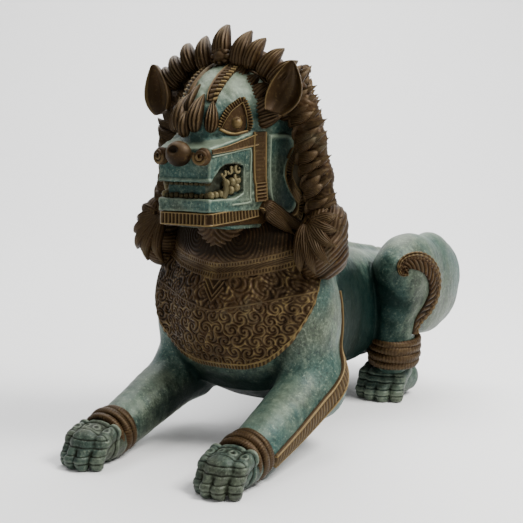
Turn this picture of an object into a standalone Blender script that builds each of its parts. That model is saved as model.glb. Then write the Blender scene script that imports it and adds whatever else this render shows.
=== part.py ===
"""Reclining temple lion in hollow cast bronze, built from its castings and applied ornaments.

The lion faces -Y, its own left is +X and it stands on Z = 0. Inside this file y is measured back
from the middle of the fore paws: every piece hangs on one empty, which moves the lion's middle
to the origin.
"""

import math

import bmesh
import bpy
from mathutils import Matrix, Vector

# Driving dimensions, metres
PAW_TIP = -0.015      # tips of the fore paws
SEAT = 0.545          # back of the haunches
HEIGHT = 0.420        # ground to the tip of the crown's middle spike
MANE_HALF = 0.120     # middle plane to the outside of a mane curl
CHEST_HALF = 0.100    # middle plane to the flank at the shoulders
BACK = 0.179          # height of the back in front of the haunches
BELLY = 0.046         # height of the belly, clear of the ground
WALL = 0.005          # wall of the hollow castings
GAP = 0.0004          # clearance of one casting to the next
WELD = 1e-5           # points closer than this are one
ORNAMENT = 0.0035     # how far an applied ornament stands proud

PAW_X = 0.076         # middle plane to the middle of a fore paw
WRIST_Y = 0.025       # back of the fore paw
CUFF_Y = 0.058        # back of the wrist cuff
ELBOW_Y = 0.192       # back of the elbow
SHOULDER_X = 0.076
HIND_TIP = 0.376      # tips of the hind paws
HIND_X = 0.048        # middle plane to the middle of a hind paw

EYE = (0.031, 0.098, 0.329)
NOSE = (0.0, 0.048, 0.296)
NOSE_RADIUS = 0.0110
CHIN = 0.228          # underside of the beard
MOUTH = 0.262         # top of the lower jaw
LIP = 0.281           # underside of the upper jaw

VERDIGRIS = ((0.115, 0.205, 0.180), 0.55, 0.75)
BROWN_PATINA = ((0.125, 0.075, 0.045), 0.50, 0.85)
WORN_GOLD = ((0.360, 0.260, 0.110), 0.40, 0.90)


def new_collection(name):
    collection = bpy.data.collections.new(name)
    bpy.context.scene.collection.children.link(collection)
    return collection


for old in list(bpy.data.objects):
    bpy.data.objects.remove(old, do_unlink=True)

LION = new_collection("temple_lion")
CUTTERS = new_collection("cutters")
STAND = bpy.data.objects.new("lion_frame", None)
STAND.location = (0.0, -(PAW_TIP + SEAT) / 2, 0.0)
LION.objects.link(STAND)


# Shapes ----------------------------------------------------------------------------------------------

def smooth_between(stations, steps):
    """The stations, with steps - 1 more between each two, on a smooth curve through them all."""
    last = len(stations) - 1
    path = []
    for i in range(last):
        before, start, end, after = (stations[max(i - 1, 0)], stations[i], stations[i + 1],
                                     stations[min(i + 2, last)])
        for step in range(steps):
            t = step / steps
            path.append([b + (e - b) * (3 * t * t - 2 * t ** 3)
                         + (e - a) / 2 * (t - 2 * t * t + t ** 3)
                         + (f - b) / 2 * (t ** 3 - t * t)
                         for a, b, e, f in zip(before, start, end, after)])
    return path + [list(stations[last])]


def superellipse(power, sides):
    """Points round a unit outline: power 2 is a circle, and a higher power is squarer."""
    for k in range(sides):
        angle = 2 * math.pi * (k + 0.5) / sides
        c, s = math.cos(angle), math.sin(angle)
        yield (math.copysign(abs(c) ** (2 / power), c), math.copysign(abs(s) ** (2 / power), s))


def skin(rings):
    """A closed mesh over a row of rings that have the same number of points."""
    shape = bmesh.new()
    loops = [[shape.verts.new(point) for point in ring] for ring in rings]
    count = len(loops[0])
    for first, second in zip(loops, loops[1:]):
        for k in range(count):
            shape.faces.new((first[k], first[(k + 1) % count], second[(k + 1) % count], second[k]))
    shape.faces.new(loops[0])
    shape.faces.new(loops[-1])
    bmesh.ops.recalc_face_normals(shape, faces=shape.faces)
    return shape


def add(name, shape, collection=None):
    """Turns a bmesh into a named object that stands in the lion's own frame.

    It is split into triangles here, so that a piece and the cutters made from it share the same facets.
    """
    bmesh.ops.triangulate(shape, faces=shape.faces)
    mesh = bpy.data.meshes.new(name)
    shape.to_mesh(mesh)
    shape.free()
    obj = bpy.data.objects.new(name, mesh)
    (collection or LION).objects.link(obj)
    obj.parent = STAND
    if collection is CUTTERS:
        obj.hide_render = True
        obj.display_type = "WIRE"
    return obj


def loft_y(name, stations, sides=14, steps=2, power=2.4, collection=None):
    """A loft along the body: each station is (y, x middle, half width, lowest z, highest z)."""
    rings = []
    for y, x, half, low, high in smooth_between(stations, steps):
        middle, rise = (low + high) / 2, (high - low) / 2
        rings.append([(x + half * a, y, middle + rise * b) for a, b in superellipse(power, sides)])
    return add(name, skin(rings), collection)


def loft_z(name, stations, sides=14, steps=2, power=2.4, collection=None):
    """A loft upwards: each station is (z, x middle, half width, front y, back y)."""
    rings = []
    for z, x, half, front, back in smooth_between(stations, steps):
        middle, reach = (front + back) / 2, (back - front) / 2
        rings.append([(x + half * a, middle + reach * b, z) for a, b in superellipse(power, sides)])
    return add(name, skin(rings), collection)


def ball(name, centre, radii, turn=(0.0, 0.0, 0.0), segments=16):
    """An ellipsoid about a centre, turned by angles in degrees."""
    shape = bmesh.new()
    bmesh.ops.create_uvsphere(shape, u_segments=segments, v_segments=segments // 2, radius=1.0)
    place = Matrix.Translation(centre) @ turned(turn) @ Matrix.Diagonal((*radii, 1.0))
    bmesh.ops.transform(shape, matrix=place, verts=shape.verts)
    return add(name, shape)


def turned(degrees):
    x, y, z = (math.radians(angle) for angle in degrees)
    return Matrix.Rotation(z, 4, "Z") @ Matrix.Rotation(y, 4, "Y") @ Matrix.Rotation(x, 4, "X")


def settled(obj):
    """Replaces an object's mesh, or its curve, by the mesh that its modifiers make, welded at its caps."""
    graph = bpy.context.evaluated_depsgraph_get()
    mesh = bpy.data.meshes.new_from_object(obj.evaluated_get(graph))
    shape = bmesh.new()
    shape.from_mesh(mesh)
    bmesh.ops.triangulate(shape, faces=shape.faces)
    bmesh.ops.remove_doubles(shape, verts=shape.verts, dist=WELD)
    bmesh.ops.dissolve_degenerate(shape, edges=shape.edges, dist=WELD)
    bmesh.ops.triangulate(shape, faces=shape.faces)
    keep_largest(shape)
    bpy.data.meshes.remove(mesh)
    name, collection = obj.name, obj.users_collection[0]
    bpy.data.objects.remove(obj, do_unlink=True)
    return add(name, shape, collection)


def keep_largest(shape):
    """Deletes the crumbs that a cut leaves beside the main body."""
    left = set(shape.verts)
    bodies = []
    while left:
        body, edge = set(), [left.pop()]
        while edge:
            vert = edge.pop()
            body.add(vert)
            fresh = {link.other_vert(vert) for link in vert.link_edges} & left
            left -= fresh
            edge.extend(fresh)
        bodies.append(body)
    bodies.sort(key=len)
    crumbs = [vert for body in bodies[:-1] for vert in body]
    bmesh.ops.delete(shape, geom=crumbs, context="VERTS")


def band(name, points, half_width, half_thick, flat_to=(1.0, 0.0, 0.0), ends=0.5, steps=3):
    """A strip along a smooth route, lying flat against a surface whose normal is flat_to."""
    route = [Vector(point) for point in smooth_between(points, steps)]
    normal = Vector(flat_to).normalized()
    rings = []
    last = len(route) - 1
    for i, here in enumerate(route):
        ahead = (route[min(i + 1, last)] - route[max(i - 1, 0)]).normalized()
        side = ahead.cross(normal).normalized()
        face = side.cross(ahead).normalized()
        taper = ends + (1 - ends) * math.sin(math.pi * i / last) ** 0.5
        rings.append([here + side * (half_width * taper * a) + face * (half_thick * taper * b)
                      for a, b in superellipse(3.0, 8)])
    return add(name, skin(rings))


def plate(name, outline, thickness, place, collection=None):
    """A flat outline given in its own x and y, made as thick as thickness and put in place by a matrix."""
    curve = bpy.data.curves.new(name, "CURVE")
    curve.dimensions = "2D"
    curve.fill_mode = "BOTH"
    curve.extrude = thickness / 2
    spline = curve.splines.new("POLY")
    spline.points.add(len(outline) - 1)
    for point, (x, y) in zip(spline.points, outline):
        point.co = (x, y, 0.0, 1.0)
    spline.use_cyclic_u = True
    obj = bpy.data.objects.new(name, curve)
    LION.objects.link(obj)
    bpy.context.view_layer.update()
    graph = bpy.context.evaluated_depsgraph_get()
    shape = bmesh.new()
    mesh = bpy.data.meshes.new_from_object(obj.evaluated_get(graph))
    shape.from_mesh(mesh)
    bpy.data.meshes.remove(mesh)
    bpy.data.objects.remove(obj, do_unlink=True)
    bmesh.ops.remove_doubles(shape, verts=shape.verts, dist=WELD)
    bmesh.ops.recalc_face_normals(shape, faces=shape.faces)
    bmesh.ops.transform(shape, matrix=place, verts=shape.verts)
    return add(name, shape, collection)


# Cuts ------------------------------------------------------------------------------------------------

UNCUT = {}            # each seated piece's whole shape, which its later neighbours are cut by


def swollen(obj, by, name, side=1):
    """A cutter: a copy of a piece as it was before its own seats were cut, with its surface moved out.

    With side -1 the copy is of the piece's twin on the lion's right.
    """
    shape = bmesh.new()
    shape.from_mesh(UNCUT.get(obj.name, obj.data))
    shape.normal_update()
    moved = [vert.co + vert.normal * by for vert in shape.verts]
    for vert, place in zip(shape.verts, moved):
        vert.co = (side * place.x, place.y, place.z)
    if side < 0:
        bmesh.ops.reverse_faces(shape, faces=shape.faces)
    return add(name, shape, CUTTERS)


def boolean(obj, other, operation, solver="EXACT"):
    modifier = obj.modifiers.new(f"{operation.lower()}_{other.name}"[:60], "BOOLEAN")
    modifier.operation = operation
    modifier.solver = solver
    modifier.object = other


def fitted(piece, *neighbours, solver="EXACT"):
    """Cuts a piece clear of the neighbours that it is seated on, and gives the cut piece.

    A piece on the middle plane is cut by a left-hand neighbour and by that neighbour's twin.
    """
    UNCUT.setdefault(piece.name, piece.data.copy())
    for neighbour in neighbours:
        paired = neighbour.name.startswith("left_") and not piece.name.startswith("left_")
        for side in (1, -1) if paired else (1,):
            cutter = swollen(neighbour, GAP, f"{piece.name}_seat_{neighbour.name}_{side}", side)
            boolean(piece, cutter, "DIFFERENCE", solver)
    bpy.context.view_layer.update()
    return settled(piece)


def shown(obj):
    """Moves a cutter's copy among the pieces."""
    CUTTERS.objects.unlink(obj)
    LION.objects.link(obj)
    obj.hide_render = False
    obj.display_type = "TEXTURED"
    return obj


def inset(stations):
    """The stations of the core inside a loft, a wall's thickness in from its outside."""
    return [(at, middle, half - WALL, low + WALL, high - WALL) for at, middle, half, low, high in stations]


def hollowed(piece, *cores):
    """Empties a casting. Each core breaks through where the piece is seated, or through the belly."""
    UNCUT.setdefault(piece.name, piece.data.copy())
    for core in cores:
        boolean(piece, core, "DIFFERENCE")
    bpy.context.view_layer.update()
    return settled(piece)


def joined(piece, *others):
    """One casting from shapes that run into each other."""
    for other in others:
        boolean(piece, other, "UNION")
    bpy.context.view_layer.update()
    whole = settled(piece)
    for other in others:
        bpy.data.objects.remove(other, do_unlink=True)
    return whole


def grounded(piece):
    """Cuts a flat sole at the surface that the lion lies on."""
    shape = bmesh.new()
    bmesh.ops.create_cube(shape, size=1.0)
    bmesh.ops.scale(shape, vec=(0.3, 1.2, 0.04), verts=shape.verts)
    bmesh.ops.translate(shape, vec=(0.0, 0.3, -0.02), verts=shape.verts)
    boolean(piece, add(f"{piece.name}_ground", shape, CUTTERS), "DIFFERENCE")
    bpy.context.view_layer.update()
    return settled(piece)


def finished(piece, patina):
    """Gives a piece its own material and smooth shading."""
    colour, roughness, metallic = patina
    material = bpy.data.materials.new(f"{piece.name}_bronze")
    material.use_nodes = True
    shader = material.node_tree.nodes["Principled BSDF"]
    shader.inputs["Base Color"].default_value = (*colour, 1.0)
    shader.inputs["Roughness"].default_value = roughness
    shader.inputs["Metallic"].default_value = metallic
    piece.data.materials.clear()
    piece.data.materials.append(material)
    piece.data.shade_smooth()
    piece.data.set_sharp_from_angle(angle=math.radians(40))
    return piece


def twin(left):
    """The same casting on the lion's right side."""
    right = bpy.data.objects.new(left.name.replace("left_", "right_", 1), left.data)
    right.scale.x = -1.0
    right.parent = STAND
    LION.objects.link(right)
    return right


# Body ------------------------------------------------------------------------------------------------

BODY = [              # (y, x middle, half width, lowest z, highest z)
    (0.124, 0.0, 0.042, 0.098, 0.172),
    (0.132, 0.0, 0.071, 0.077, 0.196),
    (0.150, 0.0, 0.093, 0.054, 0.213),
    (0.185, 0.0, CHEST_HALF, BELLY - 0.008, 0.224),
    (0.250, 0.0, 0.084, BELLY - 0.003, 0.206),
    (0.330, 0.0, 0.060, BELLY, 0.190),
    (0.400, 0.0, 0.055, BELLY, BACK),
    (0.470, 0.0, 0.057, 0.054, 0.169),
    (0.515, 0.0, 0.047, 0.063, 0.152),
    (0.532, 0.0, 0.025, 0.084, 0.130),
]


def body_form():
    """The outside of the body: a deep chest that narrows and sinks to the rump."""
    return loft_y("body_form", BODY, sides=16, power=2.5, collection=CUTTERS)


def body(form):
    """The shell that the clay core leaves, with the wide way out for the clay through the belly."""
    shell = shown(swollen(form, 0.0, "body_shell"))
    cores = [loft_y("body_core", inset(BODY[2:-1]), sides=16, power=2.5, collection=CUTTERS),
             loft_y("belly_opening", [(0.200, 0.0, 0.030, 0.010, 0.100), (0.460, 0.0, 0.022, 0.010, 0.100)],
                    sides=12, steps=1, power=6.0, collection=CUTTERS)]
    return hollowed(shell, *cores)


def chest_bib(form):
    """The engraved bib: a thin casting that follows the chest, with a round lower edge."""
    bib = shown(swollen(form, ORNAMENT, "chest_bib"))
    half, low, high, front, back = 0.085, 0.073, 0.230, 0.100, 0.188
    arc = [math.pi * k / 12 for k in range(13)]
    outline = [(half, high), (-half, high)]
    outline += [(-half * math.cos(a), low + 0.062 * (1 - math.sin(a))) for a in arc]
    prism = plate("bib_outline", outline, back - front,
                  Matrix.Translation((0.0, (back + front) / 2, 0.0)) @ turned((90.0, 0.0, 0.0)), CUTTERS)
    boolean(bib, prism, "INTERSECT")
    return fitted(bib, form)


def neck(form, bib):
    """The collar of the neck, open from top to bottom inside."""
    outside = [
        (0.190, 0.0, 0.066, 0.098, 0.225),
        (0.215, 0.0, 0.062, 0.088, 0.218),
        (0.232, 0.0, 0.046, 0.110, 0.206),
        (0.252, 0.0, 0.038, 0.140, 0.201),
        (0.300, 0.0, 0.032, 0.146, 0.190),
    ]
    column = fitted(loft_z("neck", outside, sides=14, steps=1), form, bib)
    core = loft_z("neck_core", [
        (0.170, 0.0, 0.030, 0.150, 0.190),
        (0.320, 0.0, 0.022, 0.153, 0.183),
    ], sides=14, steps=1, collection=CUTTERS)
    return hollowed(column, core)


def spine_ridge(form, collar):
    """The raised ridge down the middle of the back."""
    ridge = band("spine_ridge", [
        (0.0, 0.200, 0.2235), (0.0, 0.260, 0.2065), (0.0, 0.330, 0.1925),
        (0.0, 0.400, BACK + 0.0025), (0.0, 0.450, 0.1755), (0.0, 0.480, 0.1695),
    ], 0.0075, 0.0045, flat_to=(0.0, 0.0, 1.0), ends=0.8, steps=2)
    return fitted(ridge, form, collar)


def tail(form, ridge):
    """The tail leaves the end of the back and lies down the middle of the rump."""
    rod = band("tail", [
        (0.0, 0.486, 0.1690), (0.0, 0.512, 0.1590), (0.0, 0.530, 0.1420), (0.0, 0.5365, 0.1200),
    ], 0.0085, 0.0065, flat_to=(0.0, 1.0, 0.3), ends=0.9)
    return fitted(rod, form, ridge)


def tail_tuft(form, rod):
    """The leaf-shaped tuft that ends the tail."""
    leaf = band("tail_tuft", [
        (0.0, 0.5365, 0.1230), (0.0, 0.5355, 0.1060), (0.0, 0.5300, 0.0900), (0.0, 0.5300, 0.0740),
    ], 0.0160, 0.0060, flat_to=(0.0, 1.0, -0.1), ends=0.25)
    return fitted(leaf, form, rod)


# Fore legs -------------------------------------------------------------------------------------------

def left_fore_paw():
    palm = loft_y("left_fore_paw", [
        (PAW_TIP + 0.009, PAW_X, 0.0205, -0.004, 0.032),
        (PAW_TIP + 0.022, PAW_X, 0.0235, -0.004, 0.040),
        (WRIST_Y, PAW_X, 0.0230, -0.004, 0.042),
    ], sides=12, power=2.8)
    return grounded(joined(palm, *toes("fore_toe", PAW_X, PAW_TIP, 0.0120, (0.0070, 0.0145, 0.0185))))


def toes(name, middle, tip, pitch, radii):
    """Four toes side by side: the two in the middle reach furthest forward."""
    row = []
    for k in range(4):
        aside = abs(k - 1.5) - 0.5
        centre = (middle + (k - 1.5) * pitch, tip + radii[1] + 0.002 * aside, 0.014)
        row.append(ball(f"{name}_{k}", centre, (radii[0], radii[1] - 0.001 * aside, radii[2]), segments=8))
    return row


def left_wrist_cuff():
    return grounded(loft_y("left_wrist_cuff", [
        (WRIST_Y + GAP, PAW_X, 0.0258, -0.003, 0.0440),
        (0.5 * (WRIST_Y + CUFF_Y), PAW_X + 0.001, 0.0270, -0.003, 0.0470),
        (CUFF_Y, PAW_X + 0.001, 0.0262, 0.000, 0.0485),
    ], sides=14, power=2.6))


def left_upper_arm(form, bib):
    arm = loft_z("left_upper_arm", [
        (0.046, SHOULDER_X + 0.002, 0.018, 0.160, ELBOW_Y - 0.005),
        (0.070, SHOULDER_X + 0.001, 0.025, 0.150, ELBOW_Y + 0.004),
        (0.105, SHOULDER_X, 0.028, 0.142, ELBOW_Y + 0.010),
        (0.140, SHOULDER_X - 0.003, 0.027, 0.144, ELBOW_Y + 0.012),
        (0.168, SHOULDER_X - 0.008, 0.023, 0.150, ELBOW_Y + 0.006),
        (0.185, SHOULDER_X - 0.012, 0.012, 0.163, ELBOW_Y - 0.010),
    ], sides=12)
    return fitted(arm, form, bib)


def left_forearm(form, bib, arm):
    """The forearm, which rises from the wrist on the ground to the elbow, clear of it."""
    fore = loft_y("left_forearm", [
        (CUFF_Y + GAP, PAW_X + 0.001, 0.0230, 0.002, 0.046),
        (0.095, PAW_X + 0.001, 0.0240, 0.007, 0.056),
        (0.135, PAW_X, 0.0260, 0.016, 0.073),
        (0.170, PAW_X - 0.001, 0.0255, 0.028, 0.091),
        (ELBOW_Y, PAW_X - 0.001, 0.0185, 0.042, 0.094),
    ], sides=12, power=2.5)
    return fitted(fore, form, bib, arm)


def left_elbow_fringe(*hosts):
    """The beaded band along the outer lower edge of the forearm, up the back of the elbow."""
    strip = band("left_elbow_fringe", [
        (0.0975, 0.064, 0.016), (0.0985, 0.098, 0.026), (0.0995, 0.130, 0.041),
        (0.0990, 0.158, 0.057), (0.0990, 0.178, 0.081), (0.1005, 0.190, 0.108),
    ], 0.0080, 0.0042, flat_to=(1.0, 0.0, -0.35), ends=0.6, steps=2)
    return fitted(strip, *hosts)


# Hind legs -------------------------------------------------------------------------------------------

def left_haunch(form):
    """The folded hind leg: a round thigh clear of the ground, and a shank that drops from the high knee."""
    thigh_stations = [
        (0.360, 0.070, 0.014, 0.124, 0.181),
        (0.375, 0.074, 0.024, 0.100, 0.192),
        (0.405, 0.077, 0.030, 0.084, 0.196),
        (0.445, 0.079, 0.031, 0.077, 0.192),
        (0.490, 0.079, 0.030, 0.077, 0.177),
        (0.525, 0.076, 0.023, 0.085, 0.151),
        (SEAT, 0.072, 0.009, 0.104, 0.128),
    ]
    shank_stations = [
        (0.074, 0.063, 0.0240, 0.374, 0.434),
        (0.100, 0.064, 0.0260, 0.362, 0.430),
        (0.135, 0.066, 0.0265, 0.348, 0.426),
        (0.165, 0.068, 0.0245, 0.345, 0.420),
        (0.184, 0.070, 0.0185, 0.352, 0.410),
        (0.192, 0.072, 0.0090, 0.366, 0.395),
    ]
    thigh = loft_y("left_haunch", thigh_stations, sides=14, power=2.3)
    shank = loft_z("shank", shank_stations, sides=12, power=2.2)
    whole = fitted(joined(thigh, shank), form)
    hollow_thigh = loft_y("thigh_core", inset(thigh_stations[1:-1]), sides=14, power=2.3, collection=CUTTERS)
    shaft = inset([(0.060, 0.063, 0.0240, 0.374, 0.434)] + shank_stations[:-2])
    hollow_shank = loft_z("shank_core", shaft, sides=12, power=2.2, collection=CUTTERS)
    return hollowed(whole, hollow_thigh, hollow_shank)


def left_ankle_cuff(form, thigh):
    cuff = loft_z("left_ankle_cuff", [
        (0.044, 0.060, 0.0285, 0.384, 0.448),
        (0.062, 0.061, 0.0295, 0.376, 0.444),
        (0.080, 0.062, 0.0278, 0.368, 0.440),
    ], sides=14, power=2.6)
    return fitted(cuff, form, thigh)


def left_hind_paw(cuff, thigh):
    palm = loft_y("left_hind_paw", [
        (HIND_TIP + 0.010, HIND_X, 0.0250, -0.004, 0.038),
        (HIND_TIP + 0.026, HIND_X, 0.0280, -0.004, 0.048),
        (0.440, HIND_X + 0.003, 0.0265, -0.004, 0.052),
        (0.456, HIND_X + 0.004, 0.0200, -0.004, 0.046),
    ], sides=12, power=2.8)
    row = toes("hind_toe", HIND_X, HIND_TIP, 0.0140, (0.0080, 0.0160, 0.0190))
    return grounded(fitted(joined(palm, *row), cuff, thigh))


def left_haunch_flame(*hosts):
    """The curling ornament on the thigh: it starts over the knee, turns back and runs down the shin."""
    scroll = band("left_haunch_flame", [
        (0.0910, 0.354, 0.163), (0.1000, 0.372, 0.176), (0.1070, 0.402, 0.172), (0.1105, 0.432, 0.150),
        (0.1100, 0.440, 0.125), (0.1040, 0.430, 0.105), (0.0950, 0.414, 0.091), (0.0900, 0.406, 0.080),
    ], 0.0090, 0.0065, flat_to=(1.0, -0.15, 0.15), ends=0.7, steps=2)
    return fitted(scroll, *hosts)


# Head ------------------------------------------------------------------------------------------------

def skull(collar):
    """A wedge of a face that widens back to the cheeks, hollow and open below into the neck."""
    outside = [
        (0.070, 0.0, 0.009, 0.306, 0.340),
        (0.085, 0.0, 0.021, 0.300, 0.353),
        (0.100, 0.0, 0.033, 0.300, 0.368),
        (0.116, 0.0, 0.043, 0.298, 0.380),
        (0.128, 0.0, 0.0465, 0.236, 0.386),
        (0.155, 0.0, 0.049, 0.232, 0.389),
        (0.185, 0.0, 0.046, 0.238, 0.380),
        (0.205, 0.0, 0.033, 0.262, 0.355),
    ]
    head = fitted(loft_y("skull", outside, sides=16, steps=1, power=2.6), collar)
    core = loft_y("skull_core", inset(outside[4:]), sides=16, steps=1, power=2.6, collection=CUTTERS)
    way_out = loft_z("skull_opening", [
        (0.220, 0.0, 0.026, 0.150, 0.186),
        (0.320, 0.0, 0.026, 0.150, 0.186),
    ], sides=12, steps=1, power=2.4, collection=CUTTERS)
    return hollowed(head, core, way_out)


def muzzle(head):
    return fitted(loft_y("muzzle", [
        (0.0585, 0.0, 0.0285, LIP, 0.305),
        (0.080, 0.0, 0.0345, LIP, 0.309),
        (0.105, 0.0, 0.0410, LIP - 0.003, 0.314),
        (0.126, 0.0, 0.0450, LIP - 0.004, 0.319),
    ], sides=12, steps=1, power=5.0), head)


def lower_jaw(head, collar):
    return fitted(loft_y("lower_jaw", [
        (0.0645, 0.0, 0.0270, 0.2445, MOUTH),
        (0.090, 0.0, 0.0340, 0.2445, MOUTH - 0.001),
        (0.132, 0.0, 0.0430, 0.2440, MOUTH - 0.003),
    ], sides=12, steps=1, power=5.0), head, collar)


def chin_beard(jaw, head, collar):
    return fitted(loft_y("chin_beard", [
        (0.0640, 0.0, 0.0290, CHIN + 0.002, 0.2450),
        (0.090, 0.0, 0.0370, CHIN, 0.2450),
        (0.138, 0.0, 0.0465, CHIN - 0.002, 0.2450),
    ], sides=12, steps=1, power=5.0), jaw, head, collar)


def teeth(name, front, back, half, low, high, *hosts):
    """The strip of teeth along the front and the sides of a jaw."""
    strip = loft_y(name, [(front, 0.0, half, low, high), (back, 0.0, half + 0.010, low, high)],
                   sides=12, steps=1, power=6.0)
    return fitted(strip, *hosts)


def left_tusk(*hosts):
    fang = loft_z("left_tusk", [
        (0.2560, 0.0335, 0.0042, 0.0955, 0.1045),
        (0.2700, 0.0345, 0.0032, 0.0965, 0.1030),
        (0.2765, 0.0350, 0.0012, 0.0990, 0.1015),
    ], sides=10, power=2.0)
    return fitted(fang, *hosts)


def nose_boss(*hosts):
    return fitted(ball("nose_boss", NOSE, (NOSE_RADIUS,) * 3, segments=14), *hosts)


def left_nostril_scroll(*hosts):
    curl = ball("left_nostril_scroll", (0.0225, 0.0560, 0.2935), (0.0085, 0.0075, 0.0085))
    return fitted(curl, *hosts)


def bridge_tuft(*hosts):
    return fitted(band("bridge_tuft", [
        (0.0, 0.0665, 0.3045), (0.0, 0.0660, 0.320), (0.0, 0.0720, 0.338), (0.0, 0.083, 0.353),
    ], 0.0120, 0.0055, flat_to=(0.0, -1.0, 0.2), ends=0.6, steps=2), *hosts)


def left_eye(*hosts):
    return fitted(ball("left_eye", EYE, (0.0100, 0.0065, 0.0080), turn=(0.0, 0.0, 42.0), segments=12), *hosts)


def left_eye_rim(*hosts):
    """The ribbed lid round the eye, pointed at its outer end."""
    out, up = Vector((0.68, 0.73, 0.0)), Vector((0.0, 0.0, 1.0))
    middle = Vector(EYE) + Vector((0.001, 0.001, 0.0015))
    shape = bmesh.new()
    rings = 14
    loops = []
    for i in range(rings):
        angle = 2 * math.pi * i / rings
        radial = out * math.cos(angle) + up * math.sin(angle)
        spot = middle + out * (0.0150 * math.cos(angle)) + up * (0.0118 * math.sin(angle))
        proud = out.cross(up)
        loops.append([shape.verts.new(spot + radial * (0.0030 * math.cos(b)) + proud * (0.0048 * math.sin(b)))
                      for b in (2 * math.pi * (k + 0.5) / 6 for k in range(6))])
    for i in range(rings):
        first, second = loops[i], loops[(i + 1) % rings]
        for k in range(6):
            shape.faces.new((first[k], first[(k + 1) % 6], second[(k + 1) % 6], second[k]))
    bmesh.ops.recalc_face_normals(shape, faces=shape.faces)
    return fitted(add("left_eye_rim", shape), *hosts)


def left_brow_band(*hosts):
    """The ribbed band that rises from the bridge of the nose to the top of the forehead."""
    return fitted(band("left_brow_band", [
        (0.0185, 0.0810, 0.345), (0.0180, 0.0890, 0.357), (0.0160, 0.0990, 0.368), (0.0130, 0.1090, 0.377),
        (0.0100, 0.1170, 0.384),
    ], 0.0050, 0.0060, flat_to=(0.45, -0.75, 0.50), ends=0.8, steps=2), *hosts)


def forehead_medallion(*hosts):
    return fitted(ball("forehead_medallion", (0.0, 0.1180, 0.3870), (0.0135, 0.0090, 0.0105),
                       turn=(35.0, 0.0, 0.0)), *hosts)


def left_cheek_frame(*hosts):
    """The raised frame that runs back along the muzzle and turns down in front of the cheek."""
    return fitted(band("left_cheek_frame", [
        (0.0330, 0.0640, 0.3010), (0.0385, 0.085, 0.3055), (0.0430, 0.103, 0.3110), (0.0470, 0.1160, 0.3080),
        (0.0480, 0.1200, 0.2930), (0.0478, 0.1205, 0.2700), (0.0470, 0.1220, 0.2480),
    ], 0.0062, 0.0050, flat_to=(1.0, -0.25, 0.0), ends=0.8, steps=2), *hosts)


def left_cheek_panel(*hosts):
    return fitted(loft_z("left_cheek_panel", [
        (0.2340, 0.0520, 0.0060, 0.1480, 0.1800),
        (0.2500, 0.0540, 0.0080, 0.1400, 0.1840),
        (0.2750, 0.0550, 0.0080, 0.1385, 0.1700),
        (0.3000, 0.0560, 0.0080, 0.1360, 0.1620),
        (0.3170, 0.0550, 0.0060, 0.1400, 0.1560),
    ], sides=12), *hosts)


def left_ear(*hosts):
    """A leaf-shaped ear, hollowed in front."""
    root, tip = Vector((0.064, 0.111, 0.336)), Vector((0.080, 0.123, 0.3835))
    along = (tip - root).normalized()
    facing = Vector((0.20, -0.98, 0.0))
    across = along.cross(facing).normalized()
    shape_along = [
        (0.00, 0.0070), (0.18, 0.0135), (0.45, 0.0165), (0.70, 0.0125), (0.90, 0.0055), (1.0, 0.0012),
    ]
    rings = []
    for share, half in smooth_between(shape_along, 2):
        middle = root + (tip - root) * share
        rings.append([middle + across * (half * a) + facing * (0.0055 * (1 - 0.6 * share) * b)
                      for a, b in superellipse(2.2, 12)])
    return fitted(add("left_ear", skin(rings)), *hosts)


# Mane ------------------------------------------------------------------------------------------------

def mane_crown(*hosts):
    """The crown of pointed locks that stands round the top of the head, from ear to ear."""
    spikes, middle, root = 11, 0.312, 0.079
    outline = []
    for k in range(2 * spikes + 1):
        angle = math.radians(6 + 168 * k / (2 * spikes))
        reach_x, reach_z = (0.090, HEIGHT - middle) if k % 2 else (root, 0.090)
        outline.append((reach_x * math.cos(angle), reach_z * math.sin(angle)))
    crown = plate("mane_crown", outline, 0.032,
                  Matrix.Translation((0.0, 0.136, middle)) @ turned((90.0, 0.0, 0.0)))
    return fitted(crown, *hosts)


def left_mane_side(*hosts):
    """The column of stacked locks beside the cheek."""
    return fitted(loft_z("left_mane_side", [
        (0.2240, 0.0860, 0.0240, 0.134, 0.178),
        (0.2500, 0.0810, 0.0215, 0.135, 0.178),
        (0.2800, 0.0780, 0.0205, 0.136, 0.176),
        (0.3200, 0.0755, 0.0205, 0.136, 0.172),
        (0.3420, 0.0735, 0.0180, 0.137, 0.168),
    ], sides=12, steps=1, power=3.0), *hosts)


def left_mane_curl(*hosts):
    """The large rounded curl that ends the mane over the shoulder."""
    curl = ball("left_mane_curl", (MANE_HALF - 0.028, 0.160, 0.209), (0.028, 0.034, 0.031), segments=14)
    return fitted(curl, *hosts)


def mane_back(*hosts):
    """The mane behind the head, down the nape to the back."""
    return fitted(loft_z("mane_back", [
        (0.205, 0.0, 0.062, 0.192, 0.244),
        (0.245, 0.0, 0.066, 0.158, 0.234),
        (0.300, 0.0, 0.067, 0.156, 0.217),
        (0.350, 0.0, 0.062, 0.154, 0.203),
        (0.388, 0.0, 0.042, 0.153, 0.185),
    ], sides=14, steps=1), *hosts, solver="MANIFOLD")


# Assembly --------------------------------------------------------------------------------------------

form = body_form()
shell = finished(body(form), VERDIGRIS)
bib = finished(chest_bib(form), BROWN_PATINA)
collar = finished(neck(form, bib), BROWN_PATINA)
ridge = finished(spine_ridge(form, collar), VERDIGRIS)
rod = finished(tail(form, ridge), VERDIGRIS)
finished(tail_tuft(form, rod), BROWN_PATINA)

arm = finished(left_upper_arm(form, bib), VERDIGRIS)
fore = finished(left_forearm(form, bib, arm), VERDIGRIS)
paw = finished(left_fore_paw(), VERDIGRIS)
cuff = finished(left_wrist_cuff(), BROWN_PATINA)
fringe = finished(left_elbow_fringe(form, arm, fore, cuff), BROWN_PATINA)

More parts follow.
